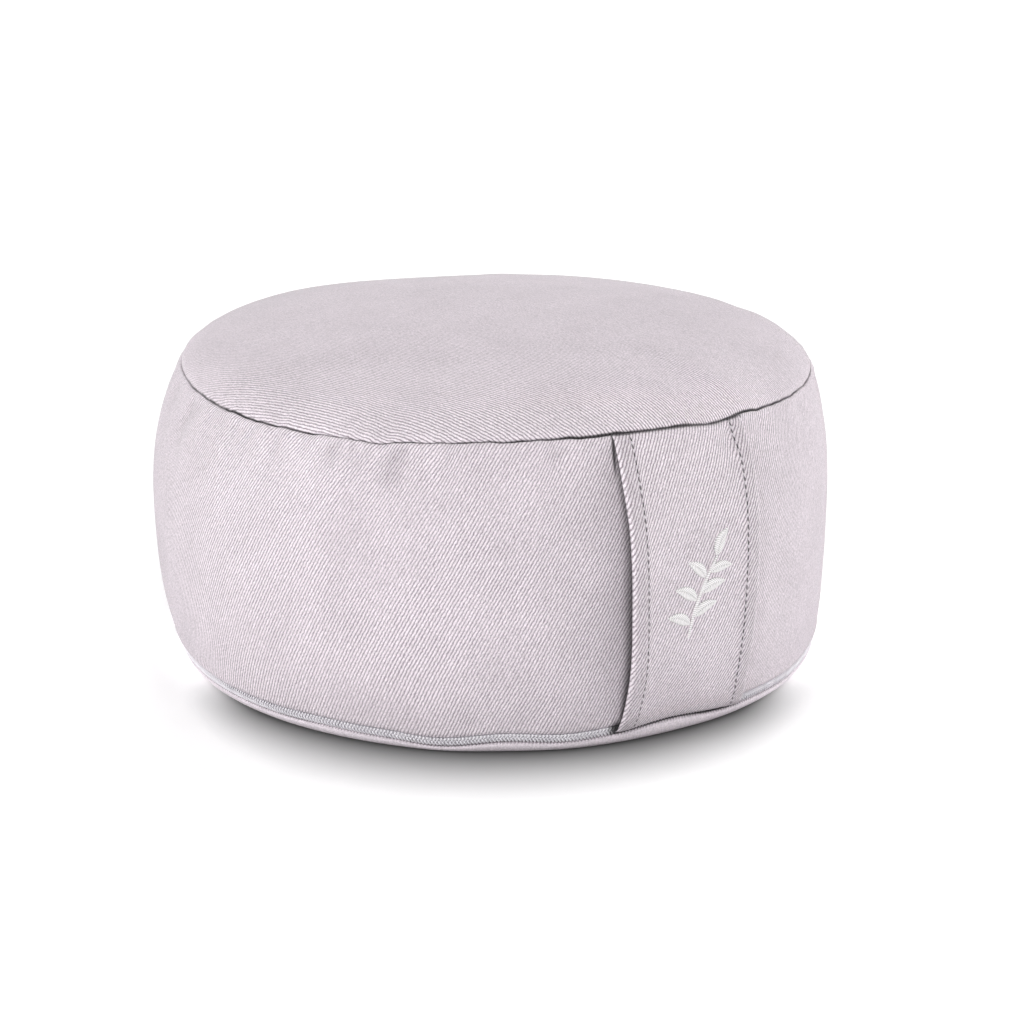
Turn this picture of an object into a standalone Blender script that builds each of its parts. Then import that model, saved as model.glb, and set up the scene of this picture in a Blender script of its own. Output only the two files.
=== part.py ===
"""Round floor cushion: a drum of twill cloth filled with husks, with a zip round its foot and a carry band.

Metres, +Z up. The origin is the centre of the flat base, and the middle of the carry band faces -Y.
An azimuth is an angle round the cushion in degrees, measured from -Y towards +X.
A level is a height on the even, upright cushion, before its seams wander and it leans.
"""

import math

import bmesh
import bpy
import numpy as np

# Cushion
ROUND_STEPS = 120
SIDE_RINGS = 15
SEAM_RADIUS = 0.1439
TOP_SEAM_LEVEL = 0.1328
BASE_SEAM_LEVEL = 0.0051
CROWN_HEIGHT = 0.0257

# Rolled edge of the base panel. Columns: radius, level.
BASE_ROLL = (
    (0.1373, 0.0000),
    (0.1448, 0.0003),
    (0.1478, 0.0014),
    (0.1492, 0.0030),
    (0.1496, 0.0043),
)

# Side panel, from the base seam to the top seam. Columns: level, radius.
SIDE = (
    (0.0051, 0.1495),
    (0.0099, 0.1511),
    (0.0235, 0.1537),
    (0.0409, 0.1554),
    (0.0637, 0.1560),
    (0.0849, 0.1555),
    (0.1023, 0.1536),
    (0.1193, 0.1495),
    (0.1328, 0.1439),
)

# Crown of the top panel. Columns: share of the seam radius, share of the crown height.
CROWN = (
    (0.00, 1.000),
    (0.30, 0.926),
    (0.50, 0.832),
    (0.66, 0.725),
    (0.80, 0.583),
    (0.87, 0.482),
    (0.93, 0.350),
    (0.975, 0.150),
    (1.00, 0.000),
)
CROWN_RINGS = (0.985, 0.965, 0.94, 0.90, 0.84, 0.74, 0.60, 0.42, 0.20)

# The top seam sinks between the two panels that it joins.
TOP_SEAM_DEPTH = 0.0011
TOP_SEAM_HALF_WIDTH = 0.0030
BASE_SEAM_DEPTH = 0.0009

# The filled cushion leans: its middle stands off the axis, and its top a little.
LEAN_AZIMUTH = -121.3
LEAN_MIDDLE = 0.0029
LEAN_TOP = 0.0006

# How the top seam wanders up and down. Columns: waves round, height, azimuth of a crest.
TOP_SEAM_WAVES = (
    (1, 0.0009, -94.7),
    (2, 0.0013, 45.4),
    (3, 0.0018, -17.8),
)

# The wandering fades down the side with this power of the level, and over the crown with the next.
WANDER_POWER = 3
CROWN_EVENING = 2.5

# Places where the top seam is pulled. Columns: azimuth, rise, half width in degrees.
TOP_SEAM_PULLS = (
    (-50.5, -0.0010, 4.0),
    (7.0, -0.0012, 4.5),
    (15.0, 0.0008, 3.5),
    (86.0, -0.0009, 6.0),
    (148.0, 0.0008, 5.0),
    (-143.0, -0.0015, 14.0),
)

# Places where the base seam and the zip rise or drop. Columns: azimuth, rise, half width in degrees.
BASE_SEAM_PULLS = (
    (-104.0, 0.0008, 9.0),
    (-61.0, 0.0005, 6.0),
    (-41.0, -0.0017, 6.0),
    (-30.0, 0.0009, 5.0),
    (-20.0, -0.0006, 4.5),
    (-2.0, 0.0030, 8.5),
    (27.0, -0.0008, 7.0),
    (52.0, 0.0007, 8.0),
    (93.0, -0.0010, 9.0),
    (131.0, 0.0009, 8.0),
    (172.0, -0.0008, 10.0),
    (-144.0, -0.0009, 9.0),
)
BASE_PULL_LEVELS = (0.0120, 0.0420)

# Broad unevenness of the filling on the side. Columns: waves round, waves up, depth, azimuth of a crest.
SIDE_LUMPS = (
    (5, 1, 0.00045, 20.0),
    (8, 2, 0.00035, -33.0),
    (13, 2, 0.00025, 8.0),
    (17, 3, 0.00018, 61.0),
)

# Broad unevenness of the crown. Columns: waves round, share of the radius, depth, azimuth of a crest.
CROWN_LUMPS = (
    (2, 0.62, 0.0012, -158.0),
    (3, 0.70, 0.0006, 15.0),
    (5, 0.80, 0.0004, -12.0),
)
CROWN_LUMP_WIDTH = 0.28

# Puckers that run down the side from the top seam.
# Columns: azimuth, half width, depth, length, sideways drift down the length.
TOP_PUCKERS = (
    (-104.0, 0.0050, 0.0010, 0.040, -0.010),
    (-94.0, 0.0050, 0.0012, 0.042, -0.012),
    (-79.0, 0.0045, 0.0009, 0.020, -0.004),
    (-68.6, 0.0045, 0.0011, 0.026, -0.005),
    (-58.0, 0.0040, 0.0008, 0.016, -0.003),
    (-52.5, 0.0040, 0.0010, 0.022, -0.003),
    (-46.3, 0.0045, 0.0016, 0.030, -0.004),
    (-21.4, 0.0042, 0.0011, 0.016, -0.001),
    (33.0, 0.0050, 0.0009, 0.022, 0.005),
    (52.0, 0.0060, 0.0011, 0.030, -0.006),
    (71.0, 0.0045, 0.0008, 0.020, 0.003),
    (88.0, 0.0055, 0.0013, 0.028, 0.004),
    (109.0, 0.0050, 0.0008, 0.021, -0.005),
    (127.0, 0.0045, 0.0010, 0.026, 0.002),
    (150.0, 0.0060, 0.0012, 0.031, 0.006),
    (169.0, 0.0045, 0.0007, 0.018, -0.003),
    (-168.0, 0.0050, 0.0010, 0.024, 0.004),
    (-146.0, 0.0055, 0.0012, 0.029, -0.006),
    (-124.0, 0.0045, 0.0009, 0.021, 0.003),
)

# Folds that rise up the side from the zip, with the same columns.
FOOT_PUCKERS = (
    (-88.0, 0.0070, 0.0008, 0.022, 0.006),
    (-52.0, 0.0060, 0.0006, 0.018, 0.004),
    (-33.5, 0.0045, 0.0010, 0.020, -0.008),
    (-27.0, 0.0045, 0.0008, 0.017, 0.006),
    (38.0, 0.0060, 0.0008, 0.022, 0.005),
    (66.0, 0.0060, 0.0007, 0.018, -0.005),
    (104.0, 0.0070, 0.0009, 0.024, 0.006),
    (140.0, 0.0060, 0.0006, 0.018, 0.003),
    (-160.0, 0.0070, 0.0008, 0.022, -0.005),
    (-123.0, 0.0060, 0.0007, 0.020, 0.004),
)
PUCKER_FADE = 0.006
PUCKER_FULL_SHARE = 0.2
PUCKER_SPREAD = 0.8

# Zip
ZIP_STEPS = 102
ZIP_REACH = 136.0
ZIP_TROUGH_FADE = 4.0
ZIP_TROUGH_DEPTH = 0.0024
ZIP_TROUGH_FLOOR = (0.0056, 0.0096)
ZIP_TROUGH_TOP = 0.0101
TAPE_LEVELS = (0.0059, 0.0093)
TAPE_BACK = -0.0021
TAPE_FACE = -0.0011
COIL_MIDDLE_LEVEL = 0.0073
COIL_HALF_WIDTH = 0.0013
COIL_BACK = -0.0008
COIL_FACE = 0.0001
COIL_SIDES = 4

# Carry band. Columns: level, half width, sideways place, stand-off of the inner face, roundness across.
# A roundness of 1 follows the cushion's side, and 0 is flat.
BAND = (
    (0.006, 0.0320, -0.0002, 0.0006, 1.00),
    (0.018, 0.0310, -0.0009, 0.0034, 0.90),
    (0.035, 0.0307, -0.0010, 0.0060, 0.70),
    (0.068, 0.0315, -0.0009, 0.0069, 0.20),
    (0.100, 0.0321, -0.0014, 0.0064, 0.20),
    (0.119, 0.0326, -0.0008, 0.0037, 0.65),
    (0.132, 0.0322, 0.0004, 0.0005, 1.00),
)
BAND_LOW_LEVEL = 0.0064
BAND_TOP_GAP = 0.0008
BAND_STEPS = 36
CLOTH = 0.0014
HEM = 0.0024
BAND_END_SHARE = 0.65
BAND_END_LEVELS = 0.010
FLATTEST = 0.01

# Cross-section of the band, a closed loop.
# Columns: share of the half width, share of the thickness, hem share.
BAND_SECTION = (
    (-1.000, 0.55, 1.0),
    (-0.975, 1.00, 1.0),
    (-0.760, 1.00, 1.0),
    (-0.715, 1.00, 0.0),
    (-0.360, 1.00, 0.0),
    (0.000, 1.00, 0.0),
    (0.360, 1.00, 0.0),
    (0.715, 1.00, 0.0),
    (0.760, 1.00, 1.0),
    (0.975, 1.00, 1.0),
    (1.000, 0.55, 1.0),
    (0.985, 0.00, 1.0),
    (0.700, 0.00, 0.0),
    (0.350, 0.00, 0.0),
    (0.000, 0.00, 0.0),
    (-0.350, 0.00, 0.0),
    (-0.700, 0.00, 0.0),
    (-0.985, 0.00, 1.0),
)

# Dents in the band. Columns: level, share of the half width, depth, radius.
BAND_DENTS = (
    (0.124, 0.62, 0.0009, 0.007),
    (0.020, -0.30, 0.0006, 0.012),
)

# Finishes. Columns: colour, roughness, metallic.
TWILL = ((0.740, 0.690, 0.740, 1.0), 0.88, 0.0)
TAPE = ((0.680, 0.690, 0.730, 1.0), 0.75, 0.0)
COIL = ((0.740, 0.750, 0.770, 1.0), 0.45, 0.0)
SHARP_ANGLE = math.radians(50.0)


def curve_through(table, at):
    """Smooth curve through the rows of a table whose first column rises, read at given places."""
    rows = np.array(table, float)
    knots, values = rows[:, 0], rows[:, 1:]
    gaps = np.diff(knots)[:, None]
    slopes = np.diff(values, axis=0) / gaps
    inner = (slopes[:-1] * gaps[1:] + slopes[1:] * gaps[:-1]) / (gaps[1:] + gaps[:-1])
    tangents = np.vstack([slopes[:1], inner, slopes[-1:]])
    at = np.clip(np.asarray(at, float), knots[0], knots[-1])
    row = np.clip(np.searchsorted(knots, at, side="right") - 1, 0, len(knots) - 2)
    gap = gaps[row]
    t = (at - knots[row])[..., None] / gap
    start = (1 + 2 * t) * (1 - t) ** 2 * values[row] + t * (1 - t) ** 2 * gap * tangents[row]
    end = t**2 * (3 - 2 * t) * values[row + 1] - t**2 * (1 - t) * gap * tangents[row + 1]
    return start + end


def smooth_step(value, low, high):
    """0 below low, 1 above high, and a smooth rise between them."""
    t = np.clip((value - low) / (high - low), 0.0, 1.0)
    return t * t * (3 - 2 * t)


def turn_between(azimuth, other):
    """Signed angle in degrees from one azimuth to another, the short way round."""
    return (azimuth - other + 180.0) % 360.0 - 180.0


def pulls(azimuth, table):
    """Sum of the local rises in a table of azimuth, rise and half width."""
    total = np.zeros_like(azimuth)
    for middle, rise, half_width in table:
        total += rise * np.exp(-((turn_between(azimuth, middle) / half_width) ** 2))
    return total


def rise(azimuth, level):
    """How far a point of the cushion at that level is lifted by its wandering seams."""
    top = pulls(azimuth, TOP_SEAM_PULLS)
    for waves, height, crest in TOP_SEAM_WAVES:
        top += height * np.cos(np.radians(waves * turn_between(azimuth, crest)))
    base = pulls(azimuth, BASE_SEAM_PULLS)
    to_top = np.clip(level / TOP_SEAM_LEVEL, 0.0, 1.0) ** WANDER_POWER
    to_base = np.clip(level / BASE_SEAM_LEVEL, 0.0, 1.0) * (1 - smooth_step(level, *BASE_PULL_LEVELS))
    return top * to_top + base * to_base


def lumps(azimuth, level):
    """How far the uneven filling pushes the side panel out."""
    total = np.zeros_like(azimuth)
    up = np.clip((level - ZIP_TROUGH_TOP) / (TOP_SEAM_LEVEL - ZIP_TROUGH_TOP), 0.0, 1.0)
    for around, upward, depth, crest in SIDE_LUMPS:
        total += depth * np.cos(np.radians(around * (azimuth - crest))) * np.sin(np.pi * upward * up)
    return total


def puckers(azimuth, distance, table):
    """Depth of the folds that run from a seam, at a distance from it along the side."""
    total = np.zeros_like(azimuth)
    for middle, half_width, depth, length, drift in table:
        along = distance / length
        arc = np.radians(turn_between(azimuth, middle)) * SEAM_RADIUS - drift * along
        share = smooth_step(distance, 0.0, PUCKER_FADE) * (1 - smooth_step(along, PUCKER_FULL_SHARE, 1.0))
        spread = half_width * (1 + PUCKER_SPREAD * np.clip(along, 0.0, 1.0))
        total += depth * share * np.exp(-((arc / spread) ** 2))
    return total


def zip_share(azimuth):
    """1 where the zip lies, 0 round the back, with a short fade between them."""
    clear = ZIP_REACH + 360.0 / ROUND_STEPS
    return 1 - smooth_step(np.abs(azimuth), clear, clear + ZIP_TROUGH_FADE)


def trough(azimuth, level):
    """Depth of the trough that holds the zip."""
    low, high = ZIP_TROUGH_FLOOR
    into = np.clip((level - BASE_SEAM_LEVEL) / (low - BASE_SEAM_LEVEL), 0.0, 1.0)
    out_of = np.clip((ZIP_TROUGH_TOP - level) / (ZIP_TROUGH_TOP - high), 0.0, 1.0)
    return ZIP_TROUGH_DEPTH * np.minimum(into, out_of) * zip_share(azimuth)


def placed(azimuth, radius, height):
    """Points at an azimuth, a radius and a height, with the lean of the filled cushion."""
    turn = np.radians(azimuth)
    up = height / TOP_SEAM_LEVEL
    lean = LEAN_MIDDLE * 4 * up * (1 - up) * (up < 1) + LEAN_TOP * up
    lean_turn = math.radians(LEAN_AZIMUTH)
    x = radius * np.sin(turn) + lean * math.sin(lean_turn)
    y = -radius * np.cos(turn) - lean * math.cos(lean_turn)
    return np.stack([x, y, height + np.zeros_like(x)], axis=-1)


def even_side(level):
    """Radius of the even side panel at a level."""
    return curve_through(SIDE, level)[..., 0]


def beside_zip(azimuth, level, proud):
    """Points at the foot of the side panel, moved out from the even side by proud."""
    return placed(azimuth, even_side(level) + proud, level + rise(azimuth, level))


def cushion_point(azimuth, radius, level):
    """Moves points of the even turned cushion to their uneven places."""
    on_side = (level >= BASE_SEAM_LEVEL) & (level <= TOP_SEAM_LEVEL)
    sunk = np.where(on_side, trough(azimuth, level) - lumps(azimuth, level), 0.0)
    sunk += np.where(on_side, puckers(azimuth, TOP_SEAM_LEVEL - level, TOP_PUCKERS), 0.0)
    sunk += np.where(on_side, puckers(azimuth, level - ZIP_TROUGH_TOP, FOOT_PUCKERS), 0.0)
    share = radius / SEAM_RADIUS
    on_crown = level > TOP_SEAM_LEVEL
    height = level + rise(azimuth, level) * np.where(on_crown, share**CROWN_EVENING, 1.0)
    for around, middle, depth, crest in CROWN_LUMPS:
        ring = np.exp(-(((share - middle) / CROWN_LUMP_WIDTH) ** 2)) * np.clip(share / middle, 0.0, 1.0)
        wave = depth * ring * np.cos(np.radians(around * (azimuth - crest)))
        height += np.where(on_crown, wave, 0.0)
    return placed(azimuth, radius - sunk, height)


def cushion_profile():
    """Radius and level of each ring of the even cushion, from the centre of the base to the crown."""
    low, high = ZIP_TROUGH_FLOOR
    levels = [BASE_SEAM_LEVEL, low, high, ZIP_TROUGH_TOP]
    side_top = TOP_SEAM_LEVEL - 2 * TOP_SEAM_HALF_WIDTH
    levels += list(np.linspace(ZIP_TROUGH_TOP, side_top, SIDE_RINGS + 1)[1:])
    levels += [TOP_SEAM_LEVEL - TOP_SEAM_HALF_WIDTH, TOP_SEAM_LEVEL - TOP_SEAM_HALF_WIDTH / 3]
    rings = [(0.0, 0.0), *BASE_ROLL]
    for level in levels:
        drawn_in = BASE_SEAM_DEPTH if level == BASE_SEAM_LEVEL else 0.0
        rings.append((float(even_side(level)) - drawn_in, level))
    rings.append((SEAM_RADIUS - TOP_SEAM_DEPTH, TOP_SEAM_LEVEL))
    for share in (*CROWN_RINGS, 0.0):
        raised = float(curve_through(CROWN, share)[0])
        rings.append((SEAM_RADIUS * share, TOP_SEAM_LEVEL + CROWN_HEIGHT * raised))
    return rings


def spin_profile(rings):
    """Turns a profile into a closed round body, and returns its bmesh."""
    bm = bmesh.new()
    line = [bm.verts.new((0.0, -radius, level)) for radius, level in rings]
    edges = [bm.edges.new(pair) for pair in zip(line, line[1:])]
    bmesh.ops.spin(
        bm,
        geom=line + edges,
        cent=(0.0, 0.0, 0.0),
        axis=(0.0, 0.0, 1.0),
        angle=math.tau,
        steps=ROUND_STEPS,
        use_merge=True,
    )
    bmesh.ops.remove_doubles(bm, verts=bm.verts, dist=1e-6)
    bmesh.ops.recalc_face_normals(bm, faces=bm.faces)
    return bm


def lofted(sections):
    """Joins a row of closed cross-sections of equal length into one body with flat ends."""
    bm = bmesh.new()
    loops = [[bm.verts.new(point) for point in section] for section in sections]
    for one, two in zip(loops, loops[1:]):
        for k in range(len(one)):
            after = (k + 1) % len(one)
            bm.faces.new((one[k], one[after], two[after], two[k]))
    bm.faces.new(loops[0])
    bm.faces.new(reversed(loops[-1]))
    bmesh.ops.recalc_face_normals(bm, faces=bm.faces)
    return bm


def finished(name, bm, finish):
    """Makes a shaded object with its own material from a bmesh."""
    mesh = bpy.data.meshes.new(name)
    bm.to_mesh(mesh)
    bm.free()
    mesh.shade_smooth()
    mesh.set_sharp_from_angle(angle=SHARP_ANGLE)
    colour, roughness, metallic = finish
    material = bpy.data.materials.new(name)
    material.use_nodes = True
    shader = material.node_tree.nodes["Principled BSDF"]
    shader.inputs["Base Color"].default_value = colour
    shader.inputs["Roughness"].default_value = roughness
    shader.inputs["Metallic"].default_value = metallic
    mesh.materials.append(material)
    thing = bpy.data.objects.new(name, mesh)
    bpy.context.scene.collection.objects.link(thing)
    return thing


def make_cushion():
    """The filled drum: flat base, rolled base edge, uneven bulging side, sunken seam and crown."""
    bm = spin_profile(cushion_profile())
    points = np.array([vertex.co for vertex in bm.verts])
    azimuth = np.degrees(np.arctan2(points[:, 0], -points[:, 1]))
    radius = np.hypot(points[:, 0], points[:, 1])
    moved = cushion_point(azimuth, radius, points[:, 2].copy())
    for vertex, place in zip(bm.verts, moved):
        vertex.co = place
    return finished("filled_cushion", bm, TWILL)


def make_zip_tape():
    """A flat strip of tape that lies in the trough."""
    low, high = TAPE_LEVELS
    corners = ((low, TAPE_BACK), (low, TAPE_FACE), (high, TAPE_FACE), (high, TAPE_BACK))
    return finished("zip_tape", zip_strip(corners), TAPE)


def make_zip_coil():
    """The closed coil, a bar with a flat back and a rounded face."""
    corners = []
    for step in range(COIL_SIDES + 1):
        turn = math.pi * step / COIL_SIDES
        level = COIL_MIDDLE_LEVEL - COIL_HALF_WIDTH * math.cos(turn)
        corners.append((level, COIL_BACK + (COIL_FACE - COIL_BACK) * math.sin(turn)))
    return finished("zip_coil", zip_strip(corners), COIL)


def zip_strip(corners):
    """Carries a cross-section of level and distance out along the zip."""
    levels, prouds = np.array(corners).T
    sections = []
    for azimuth in np.linspace(-ZIP_REACH, ZIP_REACH, ZIP_STEPS + 1):
        sections.append(beside_zip(np.full_like(levels, azimuth), levels, prouds))
    return lofted(sections)


def band_section(share_up):
    """One cross-section of the carry band, at a share of the way up from its lower end."""
    across, through, hem = np.array(BAND_SECTION).T
    top_level = TOP_SEAM_LEVEL - BAND_TOP_GAP
    level = BAND_LOW_LEVEL + (top_level - BAND_LOW_LEVEL) * share_up
    half_width, sideways_place, stand_off, roundness = curve_through(BAND, level)
    from_end = min(level - BAND_LOW_LEVEL, top_level - level)
    at_end = smooth_step(from_end, 0.0, BAND_END_LEVELS)
    thickness = (CLOTH + (HEM - CLOTH) * hem) * (BAND_END_SHARE + (1 - BAND_END_SHARE) * at_end)
    dent = np.zeros_like(across)
    for middle, side, depth, radius in BAND_DENTS:
        away = np.hypot(level - middle, (across - side) * half_width)
        dent += depth * np.exp(-((away / radius) ** 2))
    distance = even_side(level) + stand_off + through * thickness - dent
    bend = max(roundness, FLATTEST) / (float(even_side(level)) + stand_off)
    sideways = np.sin(bend * across * half_width) * (1 / bend + through * thickness)
    outward = distance - (1 - np.cos(bend * across * half_width)) / bend
    turn = np.arctan2(sideways, outward) + sideways_place / even_side(level)
    azimuth = np.degrees(turn)
    return placed(azimuth, np.hypot(sideways, outward), level + rise(azimuth, level))


def make_carry_band():
    """The band of folded cloth, from the base seam over the zip and up to the top seam."""
    sections = [band_section(step / BAND_STEPS) for step in range(BAND_STEPS + 1)]
    return finished("carry_band", lofted(sections), TWILL)


def main():
    """Clears the scene and builds the four pieces."""
    for thing in list(bpy.data.objects):
        bpy.data.objects.remove(thing)
    make_cushion()
    make_zip_tape()
    make_zip_coil()
    make_carry_band()


main()
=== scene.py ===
"""Looks of the round floor cushion: twill cover, carry band with its top-stitching and sprig, and the zip.

Metres, +Z up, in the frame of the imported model. The middle of the carry band faces -Y.
An azimuth is an angle round the cushion in degrees, measured from -Y towards +X.
A level is a height on the even, upright cushion, before its seams wander and it leans.
"""

import logging
import math
from dataclasses import dataclass, field
from enum import Enum

import bpy
import numpy as np
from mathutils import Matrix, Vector


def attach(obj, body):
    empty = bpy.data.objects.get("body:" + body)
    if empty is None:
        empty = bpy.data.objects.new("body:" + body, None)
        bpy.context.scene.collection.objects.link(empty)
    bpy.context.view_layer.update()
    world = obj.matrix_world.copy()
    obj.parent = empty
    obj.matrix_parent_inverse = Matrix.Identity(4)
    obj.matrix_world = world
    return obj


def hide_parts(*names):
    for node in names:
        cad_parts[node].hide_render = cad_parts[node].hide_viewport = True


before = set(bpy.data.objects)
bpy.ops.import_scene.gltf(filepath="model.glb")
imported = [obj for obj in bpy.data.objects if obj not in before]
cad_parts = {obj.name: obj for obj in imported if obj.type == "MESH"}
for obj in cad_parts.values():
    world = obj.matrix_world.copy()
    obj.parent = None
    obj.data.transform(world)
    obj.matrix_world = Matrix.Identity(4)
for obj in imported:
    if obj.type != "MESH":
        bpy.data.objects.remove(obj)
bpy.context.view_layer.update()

BODY = "root"
PICTURE_WIDTH = 1024
NOISE_LIMITS = (0.3, 0.7)

Table = tuple[tuple[float, ...], ...]
Colour = tuple[float, float, float]
Socket = bpy.types.NodeSocket

log = logging.getLogger("scene")


class Panel(Enum):
    """The three cut panels of the cover, in the order in which the profile meets them."""

    BASE = 0
    SIDE = 1
    TOP = 2


class Edge(Enum):
    """The two long edges of the carry band, as signs of the across share."""

    LEFT = -1
    RIGHT = 1


def curve_through(table: Table, at: np.ndarray | float) -> np.ndarray:
    """Smooth curve through the rows of a table, a cubic with averaged slopes between each two rows.

    Args:
        table: rows whose first column rises.
        at: places in the units of the first column.

    Returns:
        The other columns at those places, in the last axis.
    """
    rows = np.array(table, float)
    knots, values = rows[:, 0], rows[:, 1:]
    gaps = np.diff(knots)[:, None]
    slopes = np.diff(values, axis=0) / gaps
    inner = (slopes[:-1] * gaps[1:] + slopes[1:] * gaps[:-1]) / (gaps[1:] + gaps[:-1])
    tangents = np.vstack([slopes[:1], inner, slopes[-1:]])
    at = np.clip(np.asarray(at, float), knots[0], knots[-1])
    row = np.clip(np.searchsorted(knots, at, side="right") - 1, 0, len(knots) - 2)
    gap = gaps[row]
    t = (at - knots[row])[..., None] / gap
    start = (1 + 2 * t) * (1 - t) ** 2 * values[row] + t * (1 - t) ** 2 * gap * tangents[row]
    end = t**2 * (3 - 2 * t) * values[row + 1] - t**2 * (1 - t) * gap * tangents[row + 1]
    return start + end


def smooth_step(value: np.ndarray, low: float, high: float) -> np.ndarray:
    """0 below low, 1 above high, and 3t^2 - 2t^3 between them."""
    t = np.clip((value - low) / (high - low), 0.0, 1.0)
    return t * t * (3 - 2 * t)


def hump(value: np.ndarray, middle: float, width: float) -> np.ndarray:
    """Bell curve exp(-((value - middle) / width)^2)."""
    return np.exp(-(((value - middle) / width) ** 2))


def turn_between(azimuth: np.ndarray, other: float) -> np.ndarray:
    """Signed angle in degrees from one azimuth to another, the short way round."""
    return (azimuth - other + 180.0) % 360.0 - 180.0


def unit(vectors: np.ndarray) -> np.ndarray:
    """Vectors of the last axis, each divided by its length."""
    return vectors / np.linalg.norm(vectors, axis=-1, keepdims=True)


def waves_round(azimuth: np.ndarray, table: Table) -> np.ndarray:
    """Sum of cosines round the cushion, from rows of waves round, height and azimuth of a crest."""
    total = np.zeros_like(azimuth)
    for waves, height, crest in table:
        total += height * np.cos(np.radians(waves * (azimuth - crest)))
    return total


def run_along(points: np.ndarray) -> np.ndarray:
    """Distance of each point of a line from its first one, along the line."""
    return np.concatenate([[0.0], np.cumsum(np.linalg.norm(np.diff(points, axis=0), axis=1))])


def together(*parts: np.ndarray) -> np.ndarray:
    """Coordinates brought to one shape and put in the last axis."""
    return np.stack(np.broadcast_arrays(*parts), axis=-1)


def new_object(name: str, data: bpy.types.ID) -> bpy.types.Object:
    """Makes an object of a mesh, a light or a camera, linked to the scene at the origin."""
    made = bpy.data.objects.new(name, data)
    bpy.context.scene.collection.objects.link(made)
    return made


class MeshMaker:
    """Collects closed tubes with their UV maps and point values, and makes one mesh object of them."""

    def __init__(self, name: str) -> None:
        """Starts an empty mesh of that name."""
        self.name = name
        self.points: list[np.ndarray] = []
        self.faces: list[list[int]] = []
        self.uvs: dict[str, list[np.ndarray]] = {}
        self.values: dict[str, list[np.ndarray]] = {}
        self.count = 0

    def add_tube(
        self,
        rings: np.ndarray,
        uv: dict[str, tuple[np.ndarray, np.ndarray]] | None = None,
        values: dict[str, np.ndarray] | None = None,
    ) -> None:
        """Adds a tube of rings, closed round each ring and at both ends by a point at the ring's mean.

        Args:
            rings: points as rings x points round x 3, anticlockwise seen from the last ring.
            uv: for each map, the places along the first and the second edge of each strip of faces, as
                strips x points round + 1 x 2, with the last column unwrapped.
            values: for each point value, rings x points round.
        """
        count, around = rings.shape[:2]
        first = self.count
        row = first + np.arange(count - 1)[:, None] * around
        column = np.arange(around)[None, :]
        after = (column + 1) % around
        quads = np.stack([row + column, row + after, row + around + after, row + around + column], axis=-1)
        low_pole = first + count * around
        last = first + (count - 1) * around
        low_cap = np.stack([np.full(around, low_pole), first + after[0], first + column[0]], axis=-1)
        high_cap = np.stack([last + column[0], last + after[0], np.full(around, low_pole + 1)], axis=-1)
        ends = np.stack([rings[0].mean(axis=0), rings[-1].mean(axis=0)])
        self.points += [rings.reshape(-1, 3), ends]
        self.faces += quads.reshape(-1, 4).tolist() + low_cap.tolist() + high_cap.tolist()
        self.count += count * around + 2
        for key, (low, high) in (uv or {}).items():
            loops = np.stack([low[:, :-1], low[:, 1:], high[:, 1:], high[:, :-1]], axis=2).reshape(-1, 2)
            start, end = low[0], high[-1]
            low_mean = np.broadcast_to(start[:-1].mean(axis=0), (around, 2))
            high_mean = np.broadcast_to(end[:-1].mean(axis=0), (around, 2))
            low_loops = np.stack([low_mean, start[1:], start[:-1]], axis=1).reshape(-1, 2)
            high_loops = np.stack([end[:-1], end[1:], high_mean], axis=1).reshape(-1, 2)
            self.uvs.setdefault(key, []).extend([loops, low_loops, high_loops])
        for key, value in (values or {}).items():
            poles = np.array([value[0].mean(), value[-1].mean()])
            self.values.setdefault(key, []).extend([value.reshape(-1), poles])

    def finish(self, material: bpy.types.Material) -> bpy.types.Object:
        """Makes the smooth mesh object with its UV maps and point values.

        Args:
            material: the finish of the whole piece.

        Returns:
            The new object, linked to the scene at the origin.
        """
        mesh = bpy.data.meshes.new(self.name)
        mesh.from_pydata(np.concatenate(self.points).tolist(), [], self.faces)
        for key, loops in self.uvs.items():
            layer = mesh.uv_layers.new(name=key)
            layer.data.foreach_set("uv", np.concatenate(loops).astype(np.float32).ravel())
        for key, values in self.values.items():
            attribute = mesh.attributes.new(key, "FLOAT", "POINT")
            attribute.data.foreach_set("value", np.concatenate(values).astype(np.float32))
        mesh.shade_smooth()
        mesh.materials.append(material)
        return new_object(self.name, mesh)


def strip_uv(places: np.ndarray) -> tuple[np.ndarray, np.ndarray]:
    """The two edges of each strip of faces, from places as rings x points round + 1 x 2."""
    return places[:-1], places[1:]


class Signal:
    """A shader node's output that can be reckoned with: each operation adds a Math node."""

    def __init__(self, bench: "NodeBench", socket: Socket) -> None:
        """Keeps the output and the bench on which its node stands."""
        self.bench = bench
        self.socket = socket

    def math(self, operation: str, *others: "Signal | float") -> "Signal":
        """The result of a Math node whose first input is this."""
        return self.bench.math(operation, self, *others)

    def __add__(self, other: "Signal | float") -> "Signal":
        """This plus the other."""
        return self.math("ADD", other)

    def __sub__(self, other: "Signal | float") -> "Signal":
        """This minus the other."""
        return self.math("SUBTRACT", other)

    def __rsub__(self, other: float) -> "Signal":
        """A plain number minus this."""
        return self.bench.math("SUBTRACT", other, self)

    def __mul__(self, other: "Signal | float") -> "Signal":
        """This times the other."""
        return self.math("MULTIPLY", other)

    def __truediv__(self, other: "Signal | float") -> "Signal":
        """This divided by the other."""
        return self.math("DIVIDE", other)

    def __pow__(self, power: float) -> "Signal":
        """This raised to a power."""
        return self.math("POWER", power)

    def __abs__(self) -> "Signal":
        """This without its sign."""
        return self.math("ABSOLUTE")

    def fraction(self) -> "Signal":
        """The part after the decimal point."""
        return self.math("FRACT")

    def arch(self) -> "Signal":
        """Sine of this times half a turn: 0 at 0 and at 1, and 1 halfway."""
        return (self * math.pi).math("SINE")


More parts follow.
